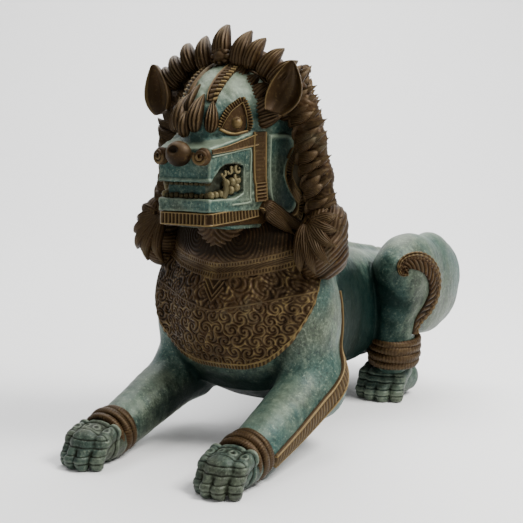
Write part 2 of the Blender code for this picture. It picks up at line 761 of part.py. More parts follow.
thigh = finished(left_haunch(form), VERDIGRIS)
ankle = finished(left_ankle_cuff(form, thigh), BROWN_PATINA)
hind = finished(left_hind_paw(ankle, thigh), VERDIGRIS)
flame = finished(left_haunch_flame(thigh, ankle), BROWN_PATINA)

head = finished(skull(collar), VERDIGRIS)
snout = finished(muzzle(head), VERDIGRIS)
jaw = finished(lower_jaw(head, collar), VERDIGRIS)
beard = finished(chin_beard(jaw, head, collar), BROWN_PATINA)
upper = finished(teeth("upper_teeth", 0.0630, 0.112, 0.0255, LIP - 0.008, LIP + 0.002, snout, head),
                 WORN_GOLD)
lower = finished(teeth("lower_teeth", 0.0670, 0.112, 0.0240, MOUTH - 0.002, MOUTH + 0.0055, jaw, head, upper),
                 WORN_GOLD)
tusk = finished(left_tusk(jaw, head, lower, upper, snout), WORN_GOLD)
nose = finished(nose_boss(snout, head), BROWN_PATINA)
nostril = finished(left_nostril_scroll(snout, nose, head), BROWN_PATINA)
bridge = finished(bridge_tuft(head, snout), BROWN_PATINA)
eye = finished(left_eye(head, snout), BROWN_PATINA)
rim = finished(left_eye_rim(head, eye, bridge, snout), BROWN_PATINA)
brow = finished(left_brow_band(head, rim, bridge), BROWN_PATINA)
medallion = finished(forehead_medallion(head, brow, bridge), BROWN_PATINA)
frame = finished(left_cheek_frame(collar, head, snout, jaw, beard, nostril, brow, rim), BROWN_PATINA)
panel = finished(left_cheek_panel(collar, head, beard, frame), VERDIGRIS)
ear = finished(left_ear(head, brow, frame), BROWN_PATINA)

for left in (brow, ear, arm, fore, paw, cuff, fringe, thigh, ankle, hind, flame, tusk, nostril, eye):
    twin(left)
twin(rim)
twin(frame)
twin(panel)

curl = finished(left_mane_curl(form, bib, collar, arm), BROWN_PATINA)
side = finished(left_mane_side(form, bib, head, collar, panel, frame, ear, curl), BROWN_PATINA)
nape = finished(mane_back(form, bib, head, collar, ridge, panel, side, curl), BROWN_PATINA)
crown = finished(mane_crown(head, medallion, ear, side, nape, brow, panel, frame), BROWN_PATINA)
twin(curl)
twin(side)
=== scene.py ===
import math

import bpy
import numpy as np
from mathutils import Matrix, Vector


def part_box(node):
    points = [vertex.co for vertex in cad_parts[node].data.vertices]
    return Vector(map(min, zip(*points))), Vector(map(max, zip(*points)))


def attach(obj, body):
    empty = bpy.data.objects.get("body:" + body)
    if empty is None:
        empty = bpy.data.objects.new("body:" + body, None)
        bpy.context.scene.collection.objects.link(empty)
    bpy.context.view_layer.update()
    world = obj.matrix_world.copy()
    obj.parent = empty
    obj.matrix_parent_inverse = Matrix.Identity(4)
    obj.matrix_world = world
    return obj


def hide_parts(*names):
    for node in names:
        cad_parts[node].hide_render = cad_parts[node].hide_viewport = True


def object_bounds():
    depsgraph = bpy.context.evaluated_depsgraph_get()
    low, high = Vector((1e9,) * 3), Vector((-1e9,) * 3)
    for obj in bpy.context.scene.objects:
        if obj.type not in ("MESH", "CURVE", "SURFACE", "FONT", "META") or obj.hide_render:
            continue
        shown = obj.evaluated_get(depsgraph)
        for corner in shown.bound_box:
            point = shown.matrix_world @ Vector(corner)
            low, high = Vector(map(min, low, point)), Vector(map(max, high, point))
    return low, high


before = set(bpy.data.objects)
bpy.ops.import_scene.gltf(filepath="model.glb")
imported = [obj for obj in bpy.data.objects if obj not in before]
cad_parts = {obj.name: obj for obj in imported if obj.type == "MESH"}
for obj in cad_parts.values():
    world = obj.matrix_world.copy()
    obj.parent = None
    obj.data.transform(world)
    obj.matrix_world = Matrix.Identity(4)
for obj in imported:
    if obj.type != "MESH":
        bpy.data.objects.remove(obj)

CAD_LOW, CAD_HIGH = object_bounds()
DEG = math.pi / 180

# The lion's own frame measures y back from the middle of the fore paws. OFF moves it to the row frame.
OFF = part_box("left_fore_paw")[0].y + 0.015
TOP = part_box("mane_crown")[1].z


# Materials --------------------------------------------------------------------------------------------

class Graph:
    """A material's nodes, added one at a time. A value is a number, a colour, or another node's output."""

    def __init__(self, name):
        self.material = bpy.data.materials.new(name)
        self.material.use_nodes = True
        self.nodes = self.material.node_tree.nodes
        self.links = self.material.node_tree.links
        self.shader = self.nodes["Principled BSDF"].inputs

    def put(self, socket, value):
        """Set an input to a number or a colour, or link another node's output to it."""
        if isinstance(value, bpy.types.NodeSocket):
            self.links.new(value, socket)
        elif isinstance(value, tuple):
            socket.default_value = (*value, 1.0)
        else:
            socket.default_value = value

    def add(self, kind, output, **inputs):
        """A node with these inputs, each word of a name joined by an underscore, and one of its outputs."""
        node = self.nodes.new(kind)
        for label, value in inputs.items():
            self.put(node.inputs[label.replace("_", " ")], value)
        return node.outputs[output]

    def noise(self, coords, scale, detail, rough, distortion=0.0):
        """Cloudy noise, with about this many blotches to a metre."""
        return self.add("ShaderNodeTexNoise", "Fac", Vector=coords, Scale=scale, Detail=detail,
                        Roughness=rough, Distortion=distortion)

    def level(self, source, low, high, out_low=0.0, out_high=1.0):
        """The source, stretched so that low becomes out_low and high becomes out_high, and held there."""
        return self.add("ShaderNodeMapRange", "Result", Value=source, From_Min=low, From_Max=high,
                        To_Min=out_low, To_Max=out_high)

    def ramp(self, source, stops):
        """Colours from a source: each stop is a value and its colour."""
        node = self.nodes.new("ShaderNodeValToRGB")
        line = node.color_ramp
        while len(line.elements) < len(stops):
            line.elements.new(0.5)
        for element, (place, colour) in zip(line.elements, stops):
            element.position = place
            element.color = (*colour, 1.0)
        self.links.new(source, node.inputs["Fac"])
        return node.outputs["Color"]

    def mix(self, factor, a, b):
        """Colour a where the factor is 0, colour b where it is 1."""
        node = self.nodes.new("ShaderNodeMix")
        node.data_type = "RGBA"
        for label, value in (("Factor", factor), ("A", a), ("B", b)):
            self.put(node.inputs[label], value)
        return node.outputs["Result"]

    def attribute(self, name):
        """A value that the mesh stores at each point."""
        node = self.nodes.new("ShaderNodeAttribute")
        node.attribute_name = name
        return node.outputs["Fac"]

    def finish(self, colour, grain, strength, depth, rough, metal):
        """Colour, grain, sheen and metal. Sheen follows the wear_and_shading value: the rubbed high places
        shine more, and the hollows, which hold dust, and the painted-shade areas such as the belly and flank
        shine less.
        """
        self.put(self.shader["Base Color"], colour)
        self.put(self.shader["Normal"],
                 self.add("ShaderNodeBump", "Normal", Strength=strength, Distance=depth, Height=grain))
        self.put(self.shader["Metallic"], metal)
        sheen = self.level(self.attribute("wear_and_shading"), 0.05, 0.50, 0.04, 0.34)
        self.put(self.shader["Specular IOR Level"], sheen)
        self.put(self.shader["Roughness"], rough)
        return self.material


def verdigris_material():
    """Mottled blue-green patina, brown where told. It is pale where wear_and_shading is high, on rubbed
    ridges and painted top light, and nearly black where it is low, in hollows and painted shade.
    """
    g = Graph("verdigris_bronze")
    coords = g.add("ShaderNodeTexCoord", "Object")
    stretched = g.nodes.new("ShaderNodeMapping")
    stretched.inputs["Scale"].default_value = (1.0, 1.0, 0.62)
    g.links.new(coords, stretched.inputs["Vector"])
    streaks = g.noise(stretched.outputs["Vector"], 92.0, 10.0, 0.76, 0.8)
    broad = g.noise(coords, 13.0, 3.0, 0.55)
    fine = g.noise(coords, 340.0, 6.0, 0.75)
    base = g.ramp(streaks, [
        (0.34, (0.006, 0.016, 0.012)), (0.44, (0.020, 0.040, 0.030)), (0.53, (0.052, 0.078, 0.056)),
        (0.63, (0.096, 0.128, 0.090)), (0.76, (0.195, 0.232, 0.164))])
    teal = g.mix(g.level(broad, 0.42, 0.66, 0.0, 0.75), base, (0.014, 0.062, 0.056))
    olive = g.mix(g.level(broad, 0.50, 0.34, 0.0, 0.35), teal, (0.060, 0.056, 0.028))
    specks = g.mix(g.level(fine, 0.54, 0.68, 0.0, 0.80), olive, (0.195, 0.235, 0.168))
    pits = g.mix(g.level(fine, 0.46, 0.34, 0.0, 0.90), specks, (0.008, 0.011, 0.008))
    wear_and_shading_fac = g.attribute("wear_and_shading")
    # Pale where the value is high: rubbed ridges and painted top light. Nearly black where it is low: darker
    # hollows and the painted shade under the belly, on the flank and in the creases.
    high = g.mix(g.level(wear_and_shading_fac, 0.55, 1.0, 0.0, 0.75), pits, (0.175, 0.215, 0.152))
    low = g.mix(g.level(wear_and_shading_fac, 0.45, 0.0, 0.0, 0.9), high, (0.002, 0.007, 0.006))
    brown = g.mix(g.attribute("brown"), low, (0.036, 0.026, 0.013))
    return g.finish(brown, fine, 0.60, 0.0006, g.level(streaks, 0.3, 0.75, 0.36, 0.62), 0.20)


def brown_material(name, dark, mid, rub, red):
    """Dark brown patina, rubbed to olive gold on what stands proud, with a trace of green in the hollows. The
    same olive gold also marks painted highlight, and near black marks painted shade, where wear_and_shading
    carries them.
    """
    g = Graph(name)
    coords = g.add("ShaderNodeTexCoord", "Object")
    broad = g.noise(coords, 22.0, 4.0, 0.6)
    fine = g.noise(coords, 330.0, 5.0, 0.7)
    wear_and_shading_fac = g.attribute("wear_and_shading")
    base = g.mix(g.level(broad, 0.38, 0.66), dark, red)
    shaded = g.mix(g.level(wear_and_shading_fac, 0.18, 0.60), base, mid)
    # Olive gold where the value is high: rubbed relief, and painted highlight on the top of the nose and the
    # lit side of the chest plate.
    rubbed = g.mix(g.level(wear_and_shading_fac, 0.62, 0.98, 0.0, 0.85), shaded, rub)
    grain = g.mix(g.level(fine, 0.55, 0.75, 0.0, 0.45), rubbed, rub)
    green = g.mix(g.level(broad, 0.60, 0.74, 0.0, 0.22), grain, (0.060, 0.085, 0.060))
    # Nearly black where the value is low: deep grooves, and painted shade, such as on the collar under the
    # chin.
    low = g.mix(g.level(wear_and_shading_fac, 0.24, 0.0, 0.0, 0.85), green, (0.008, 0.006, 0.004))
    return g.finish(low, fine, 0.35, 0.0004, g.level(fine, 0.3, 0.7, 0.40, 0.66), 0.40)


GREEN, BROWN, GILT = "verdigris_bronze", "brown_patina_bronze", "worn_gilt_bronze"
MATERIALS = {
    GREEN: verdigris_material(),
    BROWN: brown_material(BROWN, (0.016, 0.008, 0.002), (0.047, 0.026, 0.007), (0.195, 0.134, 0.047),
                          (0.034, 0.015, 0.004)),
    GILT: brown_material(GILT, (0.040, 0.036, 0.016), (0.105, 0.086, 0.038), (0.270, 0.215, 0.105),
                         (0.060, 0.045, 0.018)),
}


# Meshes -----------------------------------------------------------------------------------------------

def normals_of(points, faces):
    """The surface's normal at each point, from the faces around it."""
    a, b, c = points[faces[:, 0]], points[faces[:, 1]], points[faces[:, 2]]
    d = points[faces[:, -1]]
    cross = np.cross(c - a, d - b) if faces.shape[1] == 4 else np.cross(b - a, c - a)
    total = np.zeros_like(points)
    for axis in range(3):
        for corner in range(faces.shape[1]):
            total[:, axis] += np.bincount(faces[:, corner], weights=cross[:, axis], minlength=len(points))
    return total / np.maximum(np.linalg.norm(total, axis=1, keepdims=True), 1e-12)


def piece(name, shape, slot, nodes, brown=0.0, mirror=False):
    """One visual piece, which rides the frame and stands for its CAD nodes.

    Its shape is points in the lion's own frame, faces, and each point's wear_and_shading value, from 0 to 1:
    rubbing on the relief, and on some pieces painted highlight and painted shade as well. brown is how much
    brown patina lies over the green."""
    points, faces, wear_and_shading = shape
    if mirror:
        points = points * (-1.0, 1.0, 1.0)
        faces = faces[:, ::-1]
    points = np.clip(points + (0.0, OFF, 0.0), np.array(CAD_LOW) + 1e-5, np.array(CAD_HIGH) - 1e-5)
    mesh = bpy.data.meshes.new(name)
    mesh.vertices.add(len(points))
    mesh.vertices.foreach_set("co", points.astype(np.float32).ravel())
    corners = faces.shape[1]
    mesh.loops.add(len(faces) * corners)
    mesh.loops.foreach_set("vertex_index", faces.astype(np.int32).ravel())
    mesh.polygons.add(len(faces))
    mesh.polygons.foreach_set("loop_start", np.arange(0, len(faces) * corners, corners, dtype=np.int32))
    mesh.update(calc_edges=True)
    mesh.validate()
    mesh.shade_smooth()
    for label, values in (("wear_and_shading", wear_and_shading), ("brown", brown)):
        data = mesh.attributes.new(label, "FLOAT", "POINT").data
        full = np.broadcast_to(np.asarray(values, float), len(points))
        data.foreach_set("value", np.clip(full, 0.0, 1.0).astype(np.float32))
    mesh.materials.append(MATERIALS[slot])
    obj = bpy.data.objects.new(name, mesh)
    bpy.context.scene.collection.objects.link(obj)
    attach(obj, "root")
    if nodes:
        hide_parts(*nodes)


def both_sides(name, shape, slot, nodes, brown=0.0):
    """A piece of the lion's left side, and its mirror image on the right."""
    for side in ("left", "right"):
        piece(f"{side}_{name}", shape, slot, [f"{side}_{node}" for node in nodes], brown, side == "right")


def grid_faces(rows, columns, wrap=False):
    """Quads over a grid of points. With wrap, the last column joins the first."""
    last = columns if wrap else columns - 1
    i, j = np.meshgrid(np.arange(rows - 1), np.arange(last), indexing="ij")
    i, j = i.ravel(), j.ravel()
    k = (j + 1) % columns
    return np.stack([i * columns + j, i * columns + k, (i + 1) * columns + k, (i + 1) * columns + j], 1)


def gather(parts):
    """Points, faces and wear_and_shading values of several grids as one."""
    points, faces, wear_and_shading_parts, start = [], [], [], 0
    for p, f, w in parts:
        points.append(p)
        faces.append(f + start)
        wear_and_shading_parts.append(w)
        start += len(p)
    return np.concatenate(points), np.concatenate(faces), np.concatenate(wear_and_shading_parts)


def spline(points, count):
    """A smooth curve through the points, read at count places evenly along its length."""
    points = np.array(points, float)
    ends = np.concatenate([[2 * points[0] - points[1]], points, [2 * points[-1] - points[-2]]])
    fine = []
    for a, b, c, d in zip(ends, ends[1:], ends[2:], ends[3:]):
        t = np.linspace(0, 1, 24, endpoint=False)[:, None]
        fine.append(0.5 * (2 * b + (c - a) * t + (2 * a - 5 * b + 4 * c - d) * t ** 2
                           + (3 * b - a - 3 * c + d) * t ** 3))
    fine = np.concatenate(fine + [points[-1:]])
    length = np.concatenate([[0], np.cumsum(np.linalg.norm(np.diff(fine[:, :3], axis=0), axis=1))])
    at = np.linspace(0, length[-1], count)
    return np.stack([np.interp(at, length, fine[:, k]) for k in range(fine.shape[1])], 1), at


# Fields: negative inside, in metres -------------------------------------------------------------------

def smin(a, b, k):
    """Two fields joined, with a fillet of about k."""
    h = np.clip(0.5 + 0.5 * (b - a) / k, 0.0, 1.0)
    return b + (a - b) * h - k * h * (1.0 - h)


def smax(a, b, k):
    """What two fields share, its edge rounded by about k."""
    return -smin(-a, -b, k)


def egg(x, y, z, centre, radii):
    """An ellipsoid."""
    px, py, pz = x - centre[0], y - centre[1], z - centre[2]
    k0 = np.sqrt((px / radii[0]) ** 2 + (py / radii[1]) ** 2 + (pz / radii[2]) ** 2)
    k1 = np.sqrt((px / radii[0] ** 2) ** 2 + (py / radii[1] ** 2) ** 2 + (pz / radii[2] ** 2) ** 2)
    return k0 * (k0 - 1.0) / np.maximum(k1, 1e-6)


def rod(x, y, z, a, b, ra, rb, squash=(1.0, 1.0, 1.0)):
    """A rod with round ends; squash scales the distance along each axis, so under 1 makes it wider there."""
    a, b = np.array(a, float), np.array(b, float)
    d = (b - a) * squash
    px, py, pz = (x - a[0]) * squash[0], (y - a[1]) * squash[1], (z - a[2]) * squash[2]
    t = np.clip((px * d[0] + py * d[1] + pz * d[2]) / (d @ d), 0.0, 1.0)
    return np.sqrt((px - t * d[0]) ** 2 + (py - t * d[1]) ** 2 + (pz - t * d[2]) ** 2) - (ra + (rb - ra) * t)


def rounded(q, rounding):
    """A block from how far a point lies past each pair of its faces, with rounded edges."""
    outside = np.sqrt(sum(np.maximum(c, 0.0) ** 2 for c in q))
    return outside + np.minimum(np.maximum(np.maximum(q[0], q[1]), q[2]), 0.0) - rounding


def box(x, y, z, low, high, rounding):
    """A box with rounded edges."""
    middle = [(l + h) / 2 for l, h in zip(low, high)]
    half = [(h - l) / 2 - rounding for l, h in zip(low, high)]
    return rounded([np.abs(c - m) - h for c, m, h in zip((x, y, z), middle, half)], rounding)


def net(field, low, high, step):
    """The surface of a field as quads, one point for each cell that the surface crosses."""
    axes = [np.arange(l, h + step, step) for l, h in zip(low, high)]
    x, y, z = axes[0][:, None, None], axes[1][None, :, None], axes[2][None, None, :]
    f = np.broadcast_to(field(x, y, z), tuple(len(a) for a in axes)).astype(np.float32)
    inside = f < 0
    total = np.zeros(tuple(n - 1 for n in f.shape), np.uint8)
    corners = [(i, j, k) for i in (0, 1) for j in (0, 1) for k in (0, 1)]
    cut = [tuple(slice(o, n - 1 + o) for o, n in zip(c, f.shape)) for c in corners]
    for c in cut:
        total += inside[c]
    cells = np.argwhere((total > 0) & (total < 8))
    index = np.full(total.shape, -1, np.int64)
    index[tuple(cells.T)] = np.arange(len(cells))
    values = {c: f[cells[:, 0] + c[0], cells[:, 1] + c[1], cells[:, 2] + c[2]] for c in corners}
    spots, count = np.zeros((len(cells), 3)), np.zeros(len(cells))
    for axis in range(3):
        for c in corners:
            if c[axis]:
                continue
            d = tuple(v + (k == axis) for k, v in enumerate(c))
            a, b = values[c], values[d]
            crossed = (a < 0) != (b < 0)
            t = np.where(crossed, a / np.where(crossed, a - b, 1.0), 0.0)
            spot = np.tile(np.array(c, float), (len(cells), 1))
            spot[:, axis] += t
            spots += spot * crossed[:, None]
            count += crossed
    points = (cells + spots / count[:, None]) * step + np.array(low)
    faces = []
    for axis in range(3):
        u, v = [(1, 2), (2, 0), (0, 1)][axis]
        first = tuple(slice(0, n - 1) if k == axis else slice(1, n - 1) for k, n in enumerate(f.shape))
        second = tuple(slice(1, n) if k == axis else slice(1, n - 1) for k, n in enumerate(f.shape))
        a, b = inside[first], inside[second]
        for sign in (True, False):
            at = np.argwhere((a != b) & (a == sign))
            at = at + [0 if k == axis else 1 for k in range(3)]
            ring = []
            for du, dv in ((-1, -1), (0, -1), (0, 0), (-1, 0)):
                cell = at.copy()
                cell[:, u] += du
                cell[:, v] += dv
                ring.append(index[cell[:, 0], cell[:, 1], cell[:, 2]])
            quad = np.stack(ring, 1)
            faces.append(quad if sign else quad[:, ::-1])
    faces = np.concatenate(faces)
    return points, faces[(faces >= 0).all(1)]


def gradient(field, points, h=2e-4):
    """The way a field grows fastest at each point, and how fast."""
    x, y, z = points.T
    g = np.stack([field(x + h, y, z) - field(x - h, y, z), field(x, y + h, z) - field(x, y - h, z),
                  field(x, y, z + h) - field(x, y, z - h)], 1)
    size = np.linalg.norm(g, axis=1, keepdims=True)
    return g / np.maximum(size, 1e-12), np.maximum(size / (2 * h), 0.3)


def onto(field, points, steps=6):
    """Points moved to the surface of a field, and its normals there."""
    points = np.array(points, float)
    for _ in range(steps):
        normal, slope = gradient(field, points)
        points = points - normal * (field(*points.T)[:, None] / slope)
    return points, gradient(field, points)[0]


def skin(field, low, high, step, steps):
    """The surface of a field, drawn closer onto it, and its normals."""
    points, faces = net(field, low, high, step)
    points, normals = onto(field, points, steps)
    return points, faces, normals


def lumps(points, size, seed):
    """A slow wave over space, from -1 to 1, that keeps a cast surface from being perfect."""
    rng = np.random.default_rng(seed)
    total = np.zeros(len(points))
    for _ in range(9):
        way = rng.normal(size=3)
        way *= 2 * math.pi / size / np.linalg.norm(way) * rng.uniform(0.6, 1.6)
        total += np.sin(points @ way + rng.uniform(0, 7))
    return total / 4.0


def hollows(points, faces, normals, rounds):
    """How far each point stands out of its surroundings, from averaged neighbours: positive on ridges."""
    moved = points.copy()
    for _ in range(rounds):
        total, count = np.zeros_like(points), np.zeros(len(points))
        for corner in range(faces.shape[1]):
            a, b = faces[:, corner], faces[:, (corner + 1) % faces.shape[1]]
            for axis in range(3):
                total[:, axis] += np.bincount(a, weights=moved[b, axis], minlength=len(points))
                total[:, axis] += np.bincount(b, weights=moved[a, axis], minlength=len(points))
            count += np.bincount(a, minlength=len(points)) + np.bincount(b, minlength=len(points))
        moved = total / np.maximum(count, 1)[:, None]
    return ((points - moved) * normals).sum(1)


def wear_of(points, faces, normals, scale, rounds):
    """Wear from the relief alone: one half on flat ground, more on ridges and less in grooves."""
    return 0.5 + hollows(points, faces, normals, rounds) / scale


# Trunk and limbs --------------------------------------------------------------------------------------

# Each station of the trunk: y, half width, lowest z, highest z.
TRUNK = [(.108, .020, .120, .150), (.116, .040, .100, .174), (.132, .068, .077, .196),
         (.150, .086, .056, .213), (.185, .088, .041, .224), (.215, .080, .042, .216),
         (.250, .069, .044, .206), (.330, .056, .047, .190), (.400, .053, .048, .179),
         (.470, .055, .056, .169), (.515, .045, .066, .152), (.536, .022, .086, .128)]


def trunk(x, y, z):
    """The barrel of the body, deep at the breast and narrow at the rump."""
    at = np.array(TRUNK)
    half, low, high = (np.interp(y, at[:, 0], at[:, k]) for k in (1, 2, 3))
    middle, tall = (low + high) / 2, (high - low) / 2
    ratio = (np.abs(x / half) ** 2.5 + np.abs((z - middle) / tall) ** 2.5) ** 0.4
    side = (ratio - 1.0) * np.minimum(half, tall)
    return np.maximum(side, np.maximum(at[0, 0] - y, y - at[-1, 0]))


def spine(x, y, z):
    """The ridge along the back."""
    top = np.interp(y, [.20, .25, .33, .40, .47, .51, .53], [.218, .209, .193, .1825, .1728, .158, .140])
    ridge = np.sqrt(x ** 2 + ((z - top + .0055) * 0.8) ** 2) - .0062
    return smax(ridge, np.maximum(y - .535, .215 - y), .004)


def limbs(x, y, z):
    """The fore limbs and the hind limbs, down to the ankles."""
    x = np.abs(x)
    shoulder = egg(x, y, z, (.071, .172, .128), (.030, .040, .075))
    elbow = egg(x, y, z, (.077, .183, .066), (.025, .026, .030))
    upper = rod(x, y, z, (.077, .172, .064), (.077, .050, .024), .0300, .0225)
    front = smin(smin(shoulder, elbow, .022), upper, .020)
    thigh = egg(x, y, z, (.0765, .4600, .1350), (.0300, .0842, .0600))
    knee = egg(x, y, z, (.0740, .3970, .1605), (.0285, .0420, .0365))
    shank = rod(x, y, z, (.0715, .3850, .1560), (.0620, .4010, .0560), .0262, .0240, (1.0, 0.88, 1.0))
    back = smin(smin(thigh, knee, .030), shank, .008)
    return front, back


def tail_field(x, y, z):
    """The tail, which lies against the rump."""
    root = rod(x, y, z, (0, .486, .1640), (0, .516, .1520), .0085, .0090)
    return smin(root, rod(x, y, z, (0, .516, .1520), (0, .5345, .1180), .0090, .0085), .006)


def green_body(x, y, z):
    """The whole body but for its paws and head."""
    front, back = limbs(x, y, z)
    body = smin(trunk(x, y, z), spine(x, y, z), .010)
    body = smin(body, front, .009)
    body = smin(body, back, .006)
    body = smin(body, tail_field(x, y, z), .004)
    return smax(body, .0015 - z, .004)


def body_skin():
    """The body's skin, with painted shade under the belly, on the flank and in the creases round the limbs,
    and painted top light on its upward-facing parts.
    """
    points, faces, normals = skin(green_body, (-.115, .020, -.002), (.115, .552, .232), .00165, 2)
    breast = np.clip((points[:, 1] - .165) / .03, 0, 1)
    dents = breast * lumps(points, .050, 3) * .0009 + lumps(points, .016, 4) * .00024
    points = points + normals * dents[:, None]
    normals = normals_of(points, faces)
    x, y, z = np.abs(points[:, 0]), points[:, 1], points[:, 2]
    # Painted shade: masks for the underside of the belly, the flank in the haunch's shadow, and the creases
    # round the limbs.
    under = np.clip((.085 - z) / .04, 0, 1) * np.clip((.058 - x) / .012, 0, 1)
    flank = np.clip((y - .185) / .080, 0, 1) * np.clip((.400 - y) / .085, 0, 1) \
        * np.clip((.205 - z) / .085, 0, 1) * np.clip((x - .020) / .026, 0, 1)
    flank = np.clip(flank * 1.25 + lumps(points, .040, 9) * .10 * (flank > 0), 0, 1)
    crease = 0
    for limb in limbs(x, y, z):
        crease = crease + np.exp(-(np.maximum(np.abs(limb - trunk(x, y, z)), np.abs(limb)) / .006) ** 2)
    # Upward-facing skin is painted lighter as painted top light, and the masks above darken it as painted
    # shade. Ridges are lighter and hollows darker, partly rubbing and partly painted shade; the lumps are
    # random tone.
    wear_and_shading = 0.48 + normals[:, 2] * 0.15 + lumps(points, .03, 5) * .06 - 0.95 * np.maximum(under, flank) \
        - .30 * np.clip(crease, 0, 1) + 0.25 * np.clip(hollows(points, faces, normals, 8) / .0006, -1, 1)
    piece("green_body", (points, faces, wear_and_shading), GREEN,
          ["body_shell", "left_upper_arm", "right_upper_arm", "left_forearm", "right_forearm", "left_haunch",
           "right_haunch", "spine_ridge", "tail"])


# Paws, cuffs and bands --------------------------------------------------------------------------------

TOES = 4


def toes(x, y, z, front, back, centre, half, tall):
    """A paw: a rounded block whose front is a row of toes that curve down to the ground."""
    paw = rod(x, y, z, (centre, front + .020, tall * .46), (centre, back, tall * .50), tall * .44, tall * .50,
              (tall * .5 / half, 1.0, 1.0))
    pitch = 2 * half / TOES
    r = pitch * 0.58
    for k in range(TOES):
        off = (k - (TOES - 1) / 2) * pitch
        lead = .0140 * (1 - 1.15 * (abs(off) / half) ** 2)
        c = centre + off
        bend = (c, front + .020 - lead * .45, tall * .62)
        end = (c, front + .0135 - lead * .95, tall * .22)
        knuckle = rod(x, y, z, (c, front + .034, tall * .76), bend, r, r * 1.04)
        shin = rod(x, y, z, bend, end, r * 1.04, r)
        tip = rod(x, y, z, end, (c, front + .014 - lead * .95, r * .55), r, r * .88)
        paw = smin(paw, smin(smin(knuckle, shin, .003), tip, .002), .0016)
    return smax(paw, .0006 - z, .002)


def fore_paw_field(x, y, z):
    return toes(x, y, z, -.0080, .036, .0765, .0238, .0405)


def hind_paw_field(x, y, z):
    return toes(x, y, z, .3855, .440, .0490, .0290, .0440)


def toe_rings(x, y, z, centre, pitch, back, radius, width):
    """A small raised ring on top of each toe."""
    rings = np.zeros(len(x))
    for k in range(TOES):
        away = np.sqrt((x - (centre + (k - 1.5) * pitch)) ** 2 + (y - back) ** 2)
        rings = np.maximum(rings, np.exp(-((away - radius) / width) ** 2) * (z > .028))
    return rings * .0010


def toe_joints(y, z, front, heights, width, depth):
    """Grooves across the front of the toes, one at each height."""
    return -sum(np.exp(-((z - height) / width) ** 2) for height in heights) * depth \
        * np.clip((front - y) / .004, 0, 1)


def both_paws(name, points, faces, normals, move, shade, brown):
    """Both paws of one pair, with their skin moved and their feet flat on the ground."""
    points = points + normals * move[:, None]
    points[:, 2] = np.maximum(points[:, 2], .0004)
    wear_and_shading = wear_of(points, faces, normals_of(points, faces), .0009, 5) - shade
    both_sides(name, (points, faces, wear_and_shading), GREEN, [name], brown)


def fore_paw():
    """The fore paws, with a band behind the toes."""
    points, faces, normals = skin(fore_paw_field, (.044, -.026, -.002), (.110, .072, .056), .00095, 2)
    x, y, z = points.T
    band = np.exp(-((y - .0270) / .0020) ** 2) * .0012 - np.exp(-((y - .0235) / .0011) ** 2) * .0008
    joints = toe_joints(y, z, .012, (.0075, .0145, .0215, .0285), .0008, .0009)
    joints -= np.exp(-((y - .0085) / .0009) ** 2) * .0008 * (z > .028)
    rings = toe_rings(x, y, z, .0765, .0119, .0155, .0032, .0010)
    move = rings + band + joints + lumps(points, .012, 6) * .0003
    both_paws("fore_paw", points, faces, normals, move, .20, .26)


def hind_paw():
    """The hind paws, which are a little larger and plainer."""
    points, faces, normals = skin(hind_paw_field, (.012, .360, -.002), (.090, .475, .056), .00095, 2)
    x, y, z = points.T
    joints = toe_joints(y, z, .400, (.0080, .0155, .0230, .0305), .0009, .0011)
    rings = toe_rings(x, y, z, .0490, .0145, .410, .0034, .0011)
    move = rings + joints + lumps(points, .012, 8) * .0003
    both_paws("hind_paw", points, faces, normals, move, .02, .18)


def wrap(name, centre, radii, axis, up, strands, slant):
    """A cuff of twisted strands round a limb, each strand a rope of slanting threads.

    A strand is its place along the axis, its size next to the radii, and its thickness."""
    turns, sides = 240, 20
    axis = np.array(axis, float) / np.linalg.norm(axis)
    up = np.array(up, float)
    up = up - axis * (up @ axis)
    up = up / np.linalg.norm(up)
    side = np.cross(up, axis)
    turn = np.linspace(0, 2 * math.pi, turns, endpoint=False)
    ring = np.linspace(0, 2 * math.pi, sides, endpoint=False)
    t, r = np.meshgrid(turn, ring, indexing="ij")
    here, beside = np.arange(sides), (np.arange(sides) + 1) % sides
    start = (turns - 1) * sides
    last = np.stack([start + here, start + beside, beside, here], 1)
    faces = np.concatenate([grid_faces(turns, sides, wrap=True), last])
    parts = []
    for k, (along, scale, thick) in enumerate(strands):
        middle = np.array(centre) + axis * along
        reach = side * np.cos(t)[..., None] * radii[0] * scale + up * np.sin(t)[..., None] * radii[1] * scale
        out = reach / np.linalg.norm(reach, axis=2, keepdims=True)
        wander = np.sin(t * 5 + k * 2.1) * 1.5 + np.sin(t * 11 + k) * .8
        twist = np.sin(t * slant * 1.7 + wander + r * (2.4 if k % 2 else -2.4))
        fold = np.sin(r * 4 + t * 3 + k)
        size = thick * (1 + 0.055 * twist + .05 * fold + .05 * np.sin(t * 3 + k * 1.9))
        points = middle + reach + out * (np.cos(r) * size * .85)[..., None] \
            + axis * (np.sin(r) * size)[..., None]
        wear_and_shading = 0.22 + 0.24 * np.cos(r) + 0.15 * twist + .12 * fold
        parts.append((points.reshape(-1, 3), faces, wear_and_shading.ravel()))
    points, faces, wear_and_shading = gather(parts)
    points[:, 2] = np.maximum(points[:, 2], .0005)
    both_sides(name, (points, faces, wear_and_shading), BROWN, [name])


def cuffs():
    """Three strands round each wrist and four round each ankle."""
    wrap("wrist_cuff", (.077, .0430, .0248), (.0205, .0190), (0, 1, .14), (0, 0, 1),
         [(-.0085, 1.0, .0044), (.0005, 1.07, .0050), (.0095, 1.05, .0046)], 38)
    wrap("ankle_cuff", (.0625, .4035, .0610), (.0262, .0290), (.10, -.10, 1), (0, 1, 0),
         [(-.0110, .97, .0054), (-.0020, 1.01, .0058), (.0075, 1.02, .0056), (.0150, 1.02, .0046)], 30)


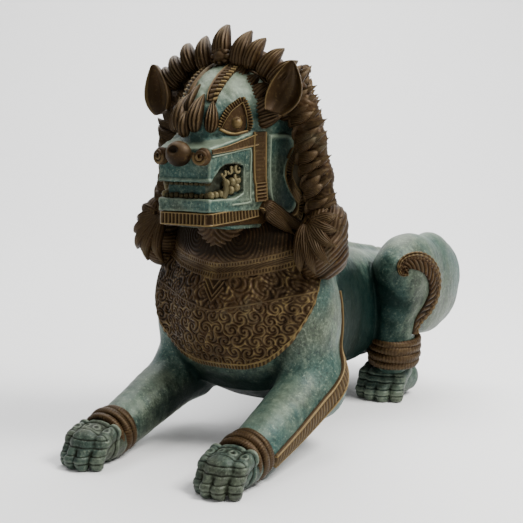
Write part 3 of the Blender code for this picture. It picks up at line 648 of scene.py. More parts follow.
def strip(field, path, widths, height, count, across, relief, lift=0.0):
    """A worked band laid on a surface along a path.

    relief(u, a) gives its height over the edge, 0 to 1, from u across the band, -1 to 1, and a along it."""
    line, along = spline(path, count)
    line, normals = onto(field, line)
    way = np.gradient(line, axis=0)
    way /= np.linalg.norm(way, axis=1, keepdims=True)
    side = np.cross(normals, way)
    side /= np.linalg.norm(side, axis=1, keepdims=True)
    share = along / along[-1]
    half = np.interp(share, np.linspace(0, 1, len(widths)), widths)
    u = np.linspace(-1, 1, across)
    uu, aa = np.meshgrid(u, along, indexing="xy")
    flat = line[:, None, :] + side[:, None, :] * (uu * half[:, None])[..., None]
    points, normal = onto(field, flat.reshape(-1, 3))
    value = relief(uu, aa)
    border = np.abs(uu) > .999
    rise = np.where(border, -.0012, lift + height * value).ravel()
    end = (np.arange(count) == 0) | (np.arange(count) == count - 1)
    rise = np.where(np.repeat(end, across), -.0012, rise)
    wear_and_shading = np.clip(0.12 + 0.85 * value, 0, 1).ravel()
    return points + normal * rise[:, None], grid_faces(count, across), wear_and_shading


def smooth_cord(u, a):
    """A plain round cord, the same all the way along."""
    return np.sqrt(np.clip(1 - u * u, 0, 1))


def cords(u, centres, size):
    """Round cords that run along a band at these places across it."""
    total = np.zeros_like(u)
    for c in centres:
        total = np.maximum(total, np.sqrt(np.clip(1 - ((u - c) / size) ** 2, 0, 1)))
    return total


def flame_relief(u, a):
    """Twin cords on the outer edge, a beaded channel, then a comb of curls along the inner edge."""
    twin = cords(u, (.80, .52), .13) * (0.85 + 0.15 * np.sin(a / .0011))
    beads = cords(u, (.24,), .15) * (0.35 + 0.65 * np.clip(np.sin(a / .0009), 0, 1))
    scallop = 0.5 + 0.5 * np.sin(a / .0016 + u * 5.0)
    comb = np.where(u < .06, scallop * (0.45 + 0.35 * np.cos((u + .45) * 3.0)), 0)
    return np.clip(np.maximum(np.maximum(twin, beads * .75), comb * .8) * (np.abs(u) < .985), 0, 1)


def fore_limb(x, y, z):
    return limbs(x, y, z)[0]


def hind_limb(x, y, z):
    return limbs(x, y, z)[1]


def haunch_flame():
    """The curl on the outside of the thigh."""
    curl = [(.104, .357, .160), (.104, .343, .164), (.104, .344, .175), (.106, .362, .177),
            (.107, .388, .169), (.107, .409, .152), (.107, .417, .132), (.106, .412, .112),
            (.100, .402, .095), (.094, .398, .082)]
    widths = [.0035, .0065, .0090, .0115, .0125, .0125, .0120, .0110, .0085, .0060]
    points, faces, wear_and_shading = strip(hind_limb, curl, widths, .0034, 340, 41, flame_relief, .0014)
    both_sides("haunch_flame", (points, faces, wear_and_shading - .12), BROWN, ["haunch_flame"])


def fringe_relief(u, a):
    """Slanting threads between two cords."""
    teeth = 0.5 + 0.5 * np.sin(a / .00085 - u * 3.0)
    rim = cords(u, (-.80, .80), .16)
    return np.clip(np.maximum(rim, .30 + .45 * teeth * (np.abs(u) < .64)) * (np.abs(u) < .98), 0, 1)


def elbow_fringe():
    """The fringe that runs along the forearm and thins out up the back of the upper arm."""
    line = [(.1015, .060, .019), (.1030, .095, .031), (.1050, .128, .045), (.1060, .158, .060),
            (.1060, .182, .080), (.1040, .1970, .104), (.1000, .2020, .132), (.0960, .2040, .160)]
    widths = [.0070, .0095, .0105, .0100, .0080, .0032, .0018, .0014]
    both_sides("elbow_fringe", strip(fore_limb, line, widths, .0026, 400, 29, fringe_relief, .0012), BROWN,
               ["elbow_fringe"])


# Head -------------------------------------------------------------------------------------------------

def face_half(y):
    """Half the muzzle's width."""
    return np.interp(y, [.050, .058, .095, .124, .150, .200], [.0262, .0282, .0380, .0460, .0485, .0510])


def brim_top(y):
    """How high the muzzle's upper edge stands."""
    return np.interp(y, [.050, .060, .092, .124, .140], [.2985, .3010, .3095, .3200, .3240])


def forehead(x, y, z):
    """The domed forehead, more pointed in plan between the eyes than at the top."""
    wide = np.interp(z, [.295, .330, .345, .385], [.0440, .0530, .0590, .0640])
    bend = np.interp(z, [.320, .345, .380], [1.30, 1.45, 2.0])
    size = (np.abs(x) / wide) ** bend + ((y - .160) / .0915) ** 2 + ((z - .3180) / .0675) ** 2
    return (np.sqrt(size) - 1.0) * .060


def wedge(x, y, z, half, low, high, front, rounding):
    """A block that widens towards the back. half is its half width at y, and slope allows for the taper."""
    slope = .955
    side = (np.abs(x) - half) * slope
    level = np.maximum(low - z, z - high)
    return rounded([side + rounding, level + rounding, front - y + rounding], rounding)


def mouth_cut(x, y, z):
    """The open mouth: shallow across the front, deeper at the sides, its ends stepped up at the back."""
    roof = np.interp(y, [.0600, .0640, .0720, .0780, .0900, .1010],
                     [.2700, .2740, .2830, .2860, .2872, .2850])
    floor = np.interp(y, [.0600, .0900, .1010], [.2545, .2550, .2600])
    slot = np.maximum(floor - z, z - roof)
    core = np.maximum(np.abs(x) - (face_half(y) - .0085), .0640 - y)
    return smax(smax(slot, y - .1005, .002), -core, .002)


def face(x, y, z):
    """The head without its mane: muzzle, cheeks, forehead, lower lip and throat."""
    muzzle = wedge(x, y, z, face_half(y), .2475, brim_top(y) + .0008, .0585, .0016)
    cheeks = wedge(x, y, z, face_half(y) - .0008, .2475, .3300, .110, .004)
    ledge = wedge(x, y, z, face_half(y) + .0004, .2425, .2538, .0585, .0012)
    throat_low = np.interp(y, [.070, .095, .13], [.2320, .2240, .2230])
    throat = wedge(x, y, z, face_half(y) - .0050, throat_low, .2500, .0680, .004)
    lip = wedge(x, y, z, np.minimum(face_half(y), .0300) + .0004, .2700, .2735, .0578, .0010)
    head = smin(smin(muzzle, cheeks, .003), forehead(x, y, z), .007)
    head = smin(head, lip, .0012)
    head = smax(head, -mouth_cut(x, y, z), .0012)
    head = smin(smin(head, ledge, .0015), throat, .003)
    return smax(head, y - .205, .010)


def face_skin():
    """The green face, with painted top light and painted shade inside the mouth. Behind the cheek plate,
    inside the mouth and under the chin it is brown.
    """
    points, faces, normals = skin(face, (-.058, .050, .225), (.058, .210, .3905), .00092, 2)
    points = points + normals * (lumps(points, .020, 11) * .0004 + lumps(points, .007, 12) * .00015)[:, None]
    normals = normals_of(points, faces)
    x, y, z = points.T
    # Painted top light: upward-facing parts and the top of the forehead are lighter. Ridges are lighter and
    # hollows darker, partly rubbing and partly painted shade.
    wear_and_shading = 0.46 + np.clip(normals[:, 2], -.5, 1) * .34 + .16 * np.clip((z - .335) / .02, 0, 1) \
        + .9 * np.clip(hollows(points, faces, normals, 5) / .0009, -.5, .4)
    # Painted highlight on the flat top of the snout.
    wear_and_shading += .42 * np.clip((normals[:, 2] - .55) / .25, 0, 1) * np.clip((.092 - y) / .006, 0, 1)
    inside = (mouth_cut(x, y, z) < .0012) & (y < .097) & (z > .2575)
    # Painted shade inside the mouth.
    wear_and_shading = np.where(inside, wear_and_shading * .45, wear_and_shading)
    brown = np.where(inside & (np.abs(x) > .020), .55, 0.0) + np.clip((.2400 - z) / .003, 0, .8) * (y < .085)
    rear = np.interp(z, [.235, .250, .262, .275, .290, .305, .330],
                     [.184, .182, .172, .163, .166, .174, .180])
    brown = np.maximum(brown, np.clip((y - rear) / .003, 0, .95))
    piece("face_skin", (points, faces, wear_and_shading), GREEN, ["skull", "muzzle", "lower_jaw"], brown)


def ribs(a, pitch, sharp=1.0):
    """Ribs across a band, one to each pitch along it."""
    return np.clip(0.5 + 0.5 * np.sin(a * 2 * math.pi / pitch), 0, 1) ** sharp


def framed(pitch, depth=.75):
    """A ribbed band between two raised edges."""
    def relief(u, a):
        rim = cords(u, (-.84, .84), .13)
        inner = ribs(a, pitch) * depth * (np.abs(u) < .74)
        return np.clip(np.maximum(rim * .95, inner), 0, 1)
    return relief


def smooth_band(u, a):
    """A nearly smooth band between two cords."""
    rim = cords(u, (-.86, .86), .14)
    return np.clip(np.maximum(rim, .30 + .10 * ribs(a, .0035) * (np.abs(u) < .72)), 0, 1) * (np.abs(u) < .99)


def wall(y, z):
    """A place on the side of the muzzle."""
    return float(face_half(y)), y, z


def face_bands():
    """The bands over the mouth and down behind it, and the thin cord that frames the side of the muzzle."""
    brim = strip(face, [wall(.061, .2980), wall(.080, .3010), wall(.100, .3055), wall(.116, .3095)],
                 [.0022, .0030, .0044, .0060], .0016, 150, 19, smooth_band, .0006)
    upper = strip(face, [wall(.1185, .3170), wall(.1190, .3000), wall(.1195, .2750), wall(.1205, .2680)],
                  [.0082, .0090, .0088, .0084], .0016, 150, 25, smooth_band, .0006)
    lower = strip(face, [wall(.1205, .2690), wall(.1210, .2600), wall(.1215, .2510)],
                  [.0084, .0086, .0086], .0020, 110, 25, framed(.0034), .0006)
    both_sides("cheek_band", gather([brim, upper, lower]), BROWN, ["cheek_frame"])
    points, faces, wear_and_shading = strip(
        face, [wall(.0615, .2935), wall(.0850, .2975), wall(.1030, .3005), wall(.1085, .2985),
               wall(.1080, .2750), wall(.1080, .2560), wall(.1060, .2505), wall(.0850, .2490)],
        [.0011, .0011], .0012, 300, 9, smooth_cord)
    both_sides("cheek_edge", (points, faces, .6 + wear_and_shading * .5), GREEN, [])


def outline_panel(outline, x_of, thick):
    """A raised plate on the side of the head, given by its outline in the side view, with a rolled rim."""
    count, rings = 140, 26
    edge = spline(list(outline) + [outline[0]], count + 1)[0][:-1]
    middle = edge.mean(0)
    points, wear_and_shading_parts = [], []
    for k in range(rings + 1):
        t = k / rings
        rim = math.exp(-((t - .92) / .050) ** 2)
        shape = middle + (edge - middle) * t
        rise = thick * (.70 if k < rings else -.30) + rim * thick * .75
        x = np.array([x_of(y) for y in shape[:, 0]]) + rise
        points.append(np.column_stack([x, shape]))
        wear_and_shading_parts.append(np.full(count, .36 + rim * .80))
    return np.concatenate(points), grid_faces(rings + 1, count, wrap=True), np.concatenate(wear_and_shading_parts)


def turned_out(points, faces, way):
    """Faces turned so that on the whole they look along the way given."""
    normals = normals_of(points, faces)
    return faces if (normals @ np.array(way, float)).sum() > 0 else faces[:, ::-1]


PANEL = [(.1290, .3150), (.1480, .3165), (.1670, .3140), (.1690, .3000), (.1560, .2880), (.1530, .2740),
         (.1620, .2590), (.1760, .2450), (.1700, .2370), (.1520, .2370), (.1370, .2430), (.1300, .2600),
         (.1280, .2850)]


def side_x(y):
    """The side of the head behind the muzzle."""
    return float(np.interp(y, [.12, .15, .18, .20], [.0465, .0495, .0505, .0510]))


def cheek_wall(x, y, z):
    """The same side as a field, for the band round the plate. It is the same at every height."""
    return x - np.interp(y, [.12, .15, .18, .21], [.0470, .0500, .0510, .0515])


def cheek_panels():
    """The green plate on the cheek, and the ribbed band down its back and under it."""
    points, faces, wear_and_shading = outline_panel(PANEL, side_x, .0030)
    both_sides("cheek_plate", (points, turned_out(points, faces, (1, 0, 0)), wear_and_shading), GREEN, ["cheek_panel"])
    points, faces, wear_and_shading = strip(
        cheek_wall, [(.05, .1760, .3180), (.05, .1765, .3040), (.05, .1660, .2900), (.05, .1610, .2750),
                     (.05, .1700, .2610), (.05, .1845, .2470), (.05, .1800, .2320), (.05, .1620, .2285),
                     (.05, .1440, .2315), (.05, .1310, .2400), (.05, .1210, .2480)],
        [.0040, .0060, .0070, .0070, .0066, .0066, .0066, .0064, .0064, .0060, .0052], .0040, 460, 23,
        framed(.0027, .8), .0004)
    both_sides("panel_rim", (points, turned_out(points, faces, (1, 0, 0)), wear_and_shading), BROWN, [])


def beard_field(x, y, z):
    """The roll of beard under the chin."""
    body = wedge(x, y, z, face_half(y) - .0025, .2285, .2440, .0605, .0025)
    return smax(body, y - .150, .01)


def beard():
    """The beard: a ribbed band from one corner of the jaw to the other, on a plain core."""
    left = [(.0430, .1200, .2415), (.0370, .0980, .2385), (.0310, .0790, .2370), (.0255, .0640, .2360),
            (.0180, .0600, .2360)]
    line = left + [(.0, .0600, .2360)] + [(-x, y, z) for x, y, z in reversed(left)]
    widths = [.0056, .0060, .0062, .0062, .0062, .0060, .0056]
    points, faces, wear_and_shading = strip(beard_field, line, widths, .0024, 760, 21, framed(.0041, .85), .0006)
    core, core_faces = net(beard_field, (-.050, .055, .224), (.050, .155, .248), .0014)
    piece("beard_band", gather([(points, turned_out(points, faces, (0, -1, 0)), wear_and_shading),
                                (core, core_faces, np.full(len(core), .30))]), BROWN, ["chin_beard"])


def cord(path, radii, around, steps):
    """A round cord along a path."""
    line, along = spline(path, steps)
    way = np.gradient(line, axis=0)
    way /= np.linalg.norm(way, axis=1, keepdims=True)
    radius = np.interp(along / along[-1], np.linspace(0, 1, len(radii)), radii)
    side = np.cross(way, (0.13, 0.21, 0.97))
    side /= np.linalg.norm(side, axis=1, keepdims=True)
    over = np.cross(side, way)
    t = np.linspace(0, 2 * math.pi, around, endpoint=False)
    ring = side[:, None, :] * np.cos(t)[None, :, None] + over[:, None, :] * np.sin(t)[None, :, None]
    points = line[:, None, :] + ring * radius[:, None, None]
    wear_and_shading = np.tile(.5 + .25 * np.cos(t), (steps, 1))
    return points.reshape(-1, 3), grid_faces(steps, around, wrap=True)[:, ::-1], wear_and_shading.ravel()


def nose_field(x, y, z):
    """The ball of the nose, dimpled in front."""
    body = egg(x, y, z, (0, .0500, .2962), (.0128, .0105, .0118))
    return smax(body, -egg(x, y, z, (0, .0385, .3000), (.0058, .0050, .0042)), .0016)


def nostril_boss(x, y, z):
    return egg(x, y, z, (.0232, .0560, .2938), (.0082, .0052, .0084))


def nose():
    """The nose, and beside it the nostrils: a boss with a cord coiled on it."""
    points, faces = net(nose_field, (-.016, .037, .282), (.016, .063, .310), .00055)
    normals = normals_of(points, faces)
    dip = np.clip(1 - np.linalg.norm((points - (0, .0415, .300)) / (.0062, .006, .0045), axis=1), 0, 1)
    # Painted top light: the nose is lighter on its upper side. It is also darker in its dimple.
    piece("nose_ball", (points, faces, .30 + normals[:, 2] * .34 - dip * 1.2), BROWN, ["nose_boss"])
    t = np.linspace(.2, 2 * math.pi * 1.75, 30)
    r = np.interp(t, [.2, 2 * math.pi * 1.75], [.0072, .0012])
    across = r * np.cos(t + 2.4)
    path = np.stack([.0232 + across * math.cos(18 * DEG),
                     .0517 + across * math.sin(18 * DEG) - .0022 * (1 - r / .0072),
                     .2938 + r * np.sin(t + 2.4)], 1)
    base, base_faces = net(nostril_boss, (.012, .048, .282), (.034, .064, .305), .0008)
    coil = cord(path, [.0017, .0021, .0018, .0012], 10, 130)
    both_sides("nostril_curl", gather([coil, (base, base_faces, np.full(len(base), .28))]), BROWN,
               ["nostril_scroll"])


def turned_out_shell(points, faces):
    """Faces turned so that on the whole they look away from their middle."""
    normals = normals_of(points, faces)
    return faces if ((points - points.mean(0)) * normals).sum() > 0 else faces[:, ::-1]


def bridge_tufts():
    """The locks that stand on the bridge of the nose: two pairs, and two single ones on the middle line."""
    parts = []
    for side in (-1, 1):
        parts.append(plume((side * .0072, .0660, .3155), (side * .0080, .0650, .3300),
                           (side * .0075, .0815, .3500), .0078, .0075, (side * .25, -1, .25), 4, columns=56))
        parts.append(plume((side * .0185, .0745, .3150), (side * .0195, .0755, .3280),
                           (side * .0150, .0850, .3450), .0068, .0062, (side * .55, -1, .20), 4, columns=56))
    parts.append(plume((0, .0620, .3110), (0, .0590, .3230), (0, .0700, .3360), .0058, .0060, (0, -1, .2), 3,
                       rows=30, columns=48))
    parts.append(plume((0, .0690, .3300), (0, .0690, .3430), (0, .0860, .3600), .0030, .0050, (0, -1, .4), 1,
                       rows=30, columns=32))
    piece("brow_tufts", gather(parts), BROWN, ["bridge_tuft"])


def block_relief(u, a):
    """A row of blocks, the inner part of each one higher, and a cord along the outer edge."""
    block = ribs(a + u * .0030, .0052, .5) * (.55 + .45 * (u < -.2)) * (u < .62)
    edge = cords(u, (.90,), .12)
    return np.clip(np.maximum(block, edge * .8) * (np.abs(u) < .985), 0, 1)


def brow_blocks():
    """The blocks along the brow, from the bridge of the nose to the crown."""
    line = [(.0135, .0840, .3430), (.0135, .0880, .3520), (.0140, .1010, .3640), (.0150, .1180, .3780),
            (.0150, .1260, .3820)]
    both_sides("brow_blocks", strip(forehead, line, [.0048, .0058, .0062, .0058, .0050], .0030, 220, 27,
                                    block_relief, .0007), BROWN, ["brow_band"])


def forehead_edge():
    """The thin cord where the forehead meets the mane."""
    line = [(.0200, .1230, .3810), (.0300, .1280, .3790), (.0380, .1330, .3710), (.0460, .1360, .3600),
            (.0540, .1350, .3480)]
    points, faces, wear_and_shading = strip(forehead, line, [.0016, .0014, .0016], .0018, 120, 9, smooth_cord)
    both_sides("forehead_edge", (points, faces, wear_and_shading * .6), BROWN, [])


def bud_field(x, y, z):
    """A small round flower: a middle and eight petals."""
    core = egg(x, y, z, (0, .1200, .3880), (.0070, .0062, .0060))
    ring = 1.0
    for k in range(8):
        t = k * 2 * math.pi / 8
        ring = np.minimum(ring, egg(x, y, z, (.0078 * math.cos(t), .1212, .3880 + .0062 * math.sin(t)),
                                    (.0032, .0050, .0028)))
    return smin(core, ring, .001)


def brow_bud():
    points, faces = net(bud_field, (-.016, .108, .374), (.016, .129, .400), .0006)
    wear_and_shading = wear_of(points, faces, normals_of(points, faces), .0010, 5) - .22
    piece("brow_bud", (points, faces, wear_and_shading), BROWN, ["forehead_medallion"])


def eye_place():
    """The eye's own plane: a function that takes a place across and up it to one in space."""
    grow = 1.17
    centre, normal = (found[0] for found in onto(face, [(.0310, .0975, .3300)]))
    across = np.cross((0, 0, 1), normal)
    across /= np.linalg.norm(across)
    across = across if across[0] > 0 else -across
    up = np.cross(across, normal)
    up = up if up[2] > 0 else -up
    return lambda a, b: centre + across * a * grow + up * b * grow


def lash_relief(u, a):
    """Short lashes that grow taller outward, and a cord along the inner edge."""
    lash = ribs(a, .0026, .7) * (u * .5 + .62)
    inner = cords(u, (-.84,), .16)
    return np.clip(np.maximum(lash, inner) * (np.abs(u) < .985), 0, 1)


def eye_lashes(at):
    arch = [at(-.0135, -.0085), at(-.0110, -.0020), at(-.0055, .0060), at(.0010, .0110), at(.0060, .0140),
            at(.0085, .0110), at(.0110, .0030), at(.0125, -.0050), at(.0115, -.0110)]
    rim = strip(face, arch, [.0020, .0030, .0032, .0032, .0030, .0030, .0030, .0028, .0020], .0026, 280, 19,
                lash_relief, .0005)
    low = strip(face, [at(-.0135, -.0095), at(-.0060, -.0125), at(.0020, -.0140), at(.0110, -.0120)],
                [.0016, .0022, .0022, .0016], .0020, 90, 11, smooth_cord, .0004)
    both_sides("eye_lashes", gather([rim, low]), BROWN, ["eye_rim"])


def eye_ball(at):
    """The almond of the eye with its round pupil, rubbed bright."""
    rings, around = 24, 72
    shape = [(-.0112, -.0088, 0), (-.0075, -.0005, 0), (-.0020, .0070, 0), (.0048, .0118, 0),
             (.0078, .0060, 0), (.0098, -.0030, 0), (.0085, -.0100, 0), (.0010, -.0118, 0),
             (-.0060, -.0108, 0)]
    edge = spline(shape + shape[:1], around + 1)[0][:-1, :2]
    pupil = np.array((.0012, -.0045))
    rows = []
    for k in range(rings + 1):
        flat = pupil + (edge - pupil) * (k / rings)
        on, normal = onto(face, [at(*p) for p in flat], 3)
        reach = np.linalg.norm(flat - pupil, axis=1)
        rise = .0046 * np.sqrt(np.clip(1 - (reach / .0044) ** 2, 0, 1)) + .0010 - .0004 * (reach > .0046)
        rise = np.where(k == rings, -.0008, rise)
        rows.append(on + normal * rise[:, None])
    points = np.concatenate(rows)
    reach = np.linalg.norm(points - at(*pupil), axis=1)
    faces = turned_out(points, grid_faces(rings + 1, around, wrap=True), (.5, -.8, 0))
    both_sides("eye_ball", (points, faces, np.where(reach < .0056, .78, .26)), BROWN, ["eye"])


def ears():
    """Each ear is a cupped leaf with ribs inside. Its front and back sheets are closed round the edge."""
    root, tip = np.array((.0645, .1125, .3345)), np.array((.0795, .1200, .3820))
    up = tip - root
    tall = np.linalg.norm(up)
    up /= tall
    front = np.array((.22, -.97, .05))
    side = np.cross(up, front)
    side /= np.linalg.norm(side)
    front = np.cross(side, up)
    front = front if front[1] < 0 else -front
    side = side if side[0] > 0 else -side
    rows, columns = 44, 41
    s, u = np.meshgrid(np.linspace(0, 1, rows), np.linspace(-1, 1, columns), indexing="ij")
    half = .0180 * np.clip(np.sin(math.pi * np.clip(s * .86 + .125, 0, 1)), 0, 1) ** .75 * (1 - .25 * s)
    half = np.where(s > .995, .0004, half)
    bend = .0030 * np.sin(math.pi * s)
    cup = -.0125 * (1 - np.abs(u) ** 2.6) * np.sin(math.pi * np.clip(s * .92 + .05, 0, 1)) ** .8
    rib = .0010 * np.cos(u * math.pi * 2.2) * (1 - np.abs(u)) * np.sin(math.pi * s)
    base = root + up * (s * tall)[..., None] + side * (u * half + bend)[..., None]
    inner = base + front * (cup + rib + .0020)[..., None]
    outer = base + front * (cup * 1.05 - .0028)[..., None]
    shut = (np.abs(u) > .999) | (s > .999) | (s < .001)
    outer = np.where(shut[..., None], inner - front * .0030, outer)
    ribbed = (1 - np.abs(u)) * np.sin(math.pi * s) * (np.cos(u * 7) > 0)
    wear_in = .30 + .45 * (np.abs(u) > .90) + .25 * ribbed
    inner, outer = inner.reshape(-1, 3), outer.reshape(-1, 3)
    grid = grid_faces(rows, columns)
    ring = np.concatenate([np.arange(columns), columns * np.arange(1, rows - 1) + columns - 1,
                           np.arange(rows * columns - 1, (rows - 1) * columns - 1, -1),
                           columns * np.arange(rows - 2, 0, -1)])
    n = rows * columns
    nxt = np.roll(ring, -1)
    seam = np.stack([ring, nxt, nxt + n, ring + n], 1)
    fronts = turned_out(inner, grid, front)
    backs = turned_out(outer, grid, -front) + n
    points = np.concatenate([inner, outer])
    faces = np.concatenate([fronts, backs, turned_out_shell(points, seam)])
    wear_and_shading = np.concatenate([wear_in.ravel(), np.full(n, .45)])
    both_sides("ear_leaf", (points, faces, wear_and_shading), BROWN, ["ear"])


def front_teeth():
    """Two rows of small teeth across the front of the mouth."""
    parts = []
    for k in range(9):
        x = (k - 4) * .0056
        for z, tall in ((.2690, .0022), (.2562 + .0006 * (k % 3), .0030)):
            def tooth(px, py, pz, x=x, z=z, tall=tall):
                return box(px, py, pz, (x - .0025, .0612, z - tall), (x + .0025, .0680, z + tall), .0016)
            p, f = net(tooth, (x - .004, .058, z - .006), (x + .004, .070, z + .006), .0008)
            parts.append((p, f, np.full(len(p), .12)))
    piece("front_teeth", gather(parts), GILT, ["upper_teeth", "lower_teeth"])


# Each knob at the side of the mouth: y, z, radius. Each curl above them: y, z, radius, turns, starting angle.
LIP_KNOBS = [(.0650, .2580, .0030), (.0705, .2585, .0028), (.0760, .2595, .0030), (.0820, .2610, .0032),
             (.0885, .2625, .0034), (.0950, .2650, .0036), (.0960, .2715, .0036), (.0900, .2700, .0034),
             (.0830, .2690, .0032)]
LIP_CURLS = [(.0950, .2815, .0044, 1.3, 0.5), (.0865, .2815, .0038, 1.2, 3.4),
             (.0940, .2740, .0034, 1.1, 1.0), (.0790, .2785, .0030, 1.1, 3.2)]


def lip_curls():
    """The knobs and curls at the side of the mouth, and the tusk in front of them."""
    parts = []
    for y, z, r in LIP_KNOBS:
        x = float(face_half(y)) - .0045
        def knob(px, py, pz, x=x, y=y, z=z, r=r):
            return egg(px, py, pz, (x, y, z), (r * 1.3, r, r * 1.25))
        p, f = net(knob, (x - .007, y - .005, z - .006), (x + .007, y + .005, z + .006), .0007)
        parts.append((p, f, np.full(len(p), .62)))
    for y, z, r, turns, start in LIP_CURLS:
        t = np.linspace(0, 2 * math.pi * turns, 24)
        q = np.linspace(r, r * .2, 24)
        x = float(face_half(y)) - .0028
        out = x + np.linspace(-.001, .0026, 24)
        path = np.stack([out, y + q * np.cos(t + start), z + q * np.sin(t + start)], 1)
        parts.append(cord(path, [.0013, .0017, .0016, .0010], 9, 70))
    tusk = [(.0300, .0800, .2560), (.0335, .0790, .2640), (.0340, .0760, .2720), (.0325, .0735, .2760)]
    parts.append(cord(tusk, [.0032, .0030, .0022, .0005], 14, 40))
    both_sides("lip_curls", gather(parts), GILT, ["tusk"])


def head():
    face_skin()
    face_bands()
    cheek_panels()
    beard()
    nose()
    bridge_tufts()
    brow_blocks()
    forehead_edge()
    brow_bud()
    at = eye_place()
    eye_lashes(at)
    eye_ball(at)
    ears()
    front_teeth()
    lip_curls()


# Mane -------------------------------------------------------------------------------------------------

# The roll that frames the face, from the shoulder to the crown: x, y, z, radius.
RING = [(.0900, .158, .205, .0190), (.0900, .162, .240, .0150), (.0850, .162, .275, .0140),
        (.0790, .158, .310, .0140), (.0710, .154, .340, .0140), (.0600, .150, .358, .0130),
        (.0450, .146, .3730, .0120), (.0250, .144, .3830, .0115), (0, .143, .3865, .0115)]


def mane_core(x, y, z):
    """What the locks of the mane stand on."""
    x = np.abs(x)
    body = egg(x, y, z, (0, .1640, .2660), (.0760, .0740, .1290))
    body = smax(body, np.interp(z, [.300, .350, .385], [.198, .170, .146]) - y, .006)
    body = smax(body, .196 - z, .010)
    for a, b in zip(RING, RING[1:]):
        body = smin(body, rod(x, y, z, a[:3], b[:3], a[3], b[3], (1.0, 1.15, 1.0)), .008)
    return body


def mane_base():
    """The ground of the mane between its locks, combed with fine lines."""
    points, faces, normals = skin(mane_core, (-.120, .118, .185), (.120, .238, .412), .0020, 1)
    flow = np.sin((points[:, 2] + .35 * np.abs(points[:, 0]) + lumps(points, .04, 21) * .003) / .00062)
    points = points + normals * (flow * .0004 + lumps(points, .012, 22) * .0006)[:, None]
    piece("mane_base", (points, faces, .26 + .10 * flow), BROWN, ["mane_back"])


def plume(root, middle, tip, width, thick, out, lines=6, hook=0.0, rows=34, columns=64, blunt=.30):
    """A lock of hair: a rounded foot, fine grooves that run together, and a pointed tip that hooks over."""
    root, middle, tip = (np.array(p, float) for p in (root, middle, tip))
    out = np.array(out, float)
    out /= np.linalg.norm(out)
    line = spline([root, middle, tip], rows)[0]
    s = np.linspace(0, 1, rows)
    line = line + out * (hook * np.clip(s - .55, 0, 1) ** 2 * 5)[:, None]
    way = np.gradient(line, axis=0)
    way /= np.linalg.norm(way, axis=1, keepdims=True)
    side = np.cross(way, out)
    side /= np.linalg.norm(side, axis=1, keepdims=True)
    over = np.cross(side, way)
    round_foot = np.sqrt(np.clip(1 - ((blunt - s) / blunt).clip(0, 1) ** 2, 0, 1))
    half = width * round_foot * (1 - np.clip((s - blunt) / (1 - blunt), 0, 1) ** 1.7)
    half = np.maximum(half, width * .035)
    body = thick * round_foot ** .7 * (1 - .72 * np.clip((s - .45) / .55, 0, 1) ** 2)
    body = np.maximum(body, thick * .05)
    t = np.linspace(0, 2 * math.pi, columns, endpoint=False)
    c, h = np.cos(t), np.sin(t)
    front = np.clip(h, 0, None) ** .65
    back = np.clip(-h, 0, None)
    comb = np.abs(np.sin(c * math.pi * lines / 2))
    groove = front * (comb - .60) * .42
    height = (front + groove - .45 * back)
    points = line[:, None, :] + side[:, None, :] * (c[None, :] * half[:, None])[..., None] \
        + over[:, None, :] * (height[None, :] * body[:, None])[..., None]
    wear_and_shading = .06 + .66 * front * comb ** 1.5 + .22 * (s[:, None] - .4)
    points = points.reshape(-1, 3)
    return points, turned_out_shell(points, grid_faces(rows, columns, wrap=True)), wear_and_shading.ravel()


# The tips of the locks that stand over the forehead: x, z. Three of them are longer.
CROWN_TIPS = [(-.0024, .4190), (.0235, .4118), (.0390, .4038), (.0590, .3938), (.0735, .3822),
              (-.0277, .4084), (-.0476, .4016), (-.0636, .3900), (-.0745, .3790)]
LONG_TIPS = (0, 1, 5)
HUB = np.array((0.0, .3080))

# Each row of locks behind them: y, reach from the hub, length, how the lock leans, its turn in degrees.
CROWN_ROWS = [(.1300, .0700, .022, -1, 3), (.1560, .0830, .028, -.7, 0), (.1740, .0770, .030, -.2, 5.5)]


def crown():
    """The crown of the mane, its locks spread like a fan from a hub behind the face."""
    parts = []
    for k, tip in enumerate(CROWN_TIPS):
        tip = np.array(tip)
        way = (tip - HUB) / np.linalg.norm(tip - HUB)
        size, wide = (.0365, .0100) if k in LONG_TIPS else (.0300, .0088)
        foot, mid = tip - way * size, tip - way * size * .50
        parts.append(plume((foot[0], .1290, foot[1]), (mid[0], .1275, mid[1]), (tip[0], .1400, tip[1]),
                           wide, .0095, (way[0] * .15, -1, .12), 6 if k < 2 else 5, -.0005))
    for k, angle in enumerate(np.linspace(-68, 68, 12)):
        for y, reach, size, lean, turn in CROWN_ROWS:
            way = np.array((math.sin((angle + turn) * DEG), math.cos((angle + turn) * DEG)))
            uneven = 1 + .02 * math.sin(k * 2.3 + y * 90)
            tip = HUB + way * reach * uneven * np.array((.93, 1.08))
            foot, mid = tip - way * size, tip - way * size * .5
            parts.append(plume((foot[0], y - .004, foot[1]), (mid[0], y - .0050, mid[1]),
                               (tip[0], y + .0045, tip[1]), .0085, .0080, (way[0] * .2, lean, .25), 5,
                               rows=26, columns=48))
    points, faces, wear_and_shading = gather(parts)
    points[:, 2] = np.minimum(points[:, 2], TOP - .0004)
    piece("mane_crown_locks", (points, faces, wear_and_shading), BROWN, ["mane_crown"])


# The outline of the ruff on each side, seen from in front: z, x. The right one is drawn as if on the left.
LEFT_EDGE = [(.2050, .1180), (.2300, .1185), (.2420, .1120), (.2720, .1035), (.2880, .1015), (.3200, .0976),
             (.3380, .0925), (.3550, .0860), (.3710, .0785)]
RIGHT_EDGE = [(.2050, .1080), (.2300, .1080), (.2420, .1010), (.2720, .0960), (.2990, .0975), (.3200, .0980),
              (.3380, .0940), (.3550, .0850), (.3710, .0785)]


# The inner edge of the ruff: z, x.
INNER_EDGE = [(.220, .0840), (.250, .0850), (.270, .0800), (.290, .0740), (.310, .0730), (.345, .0600)]
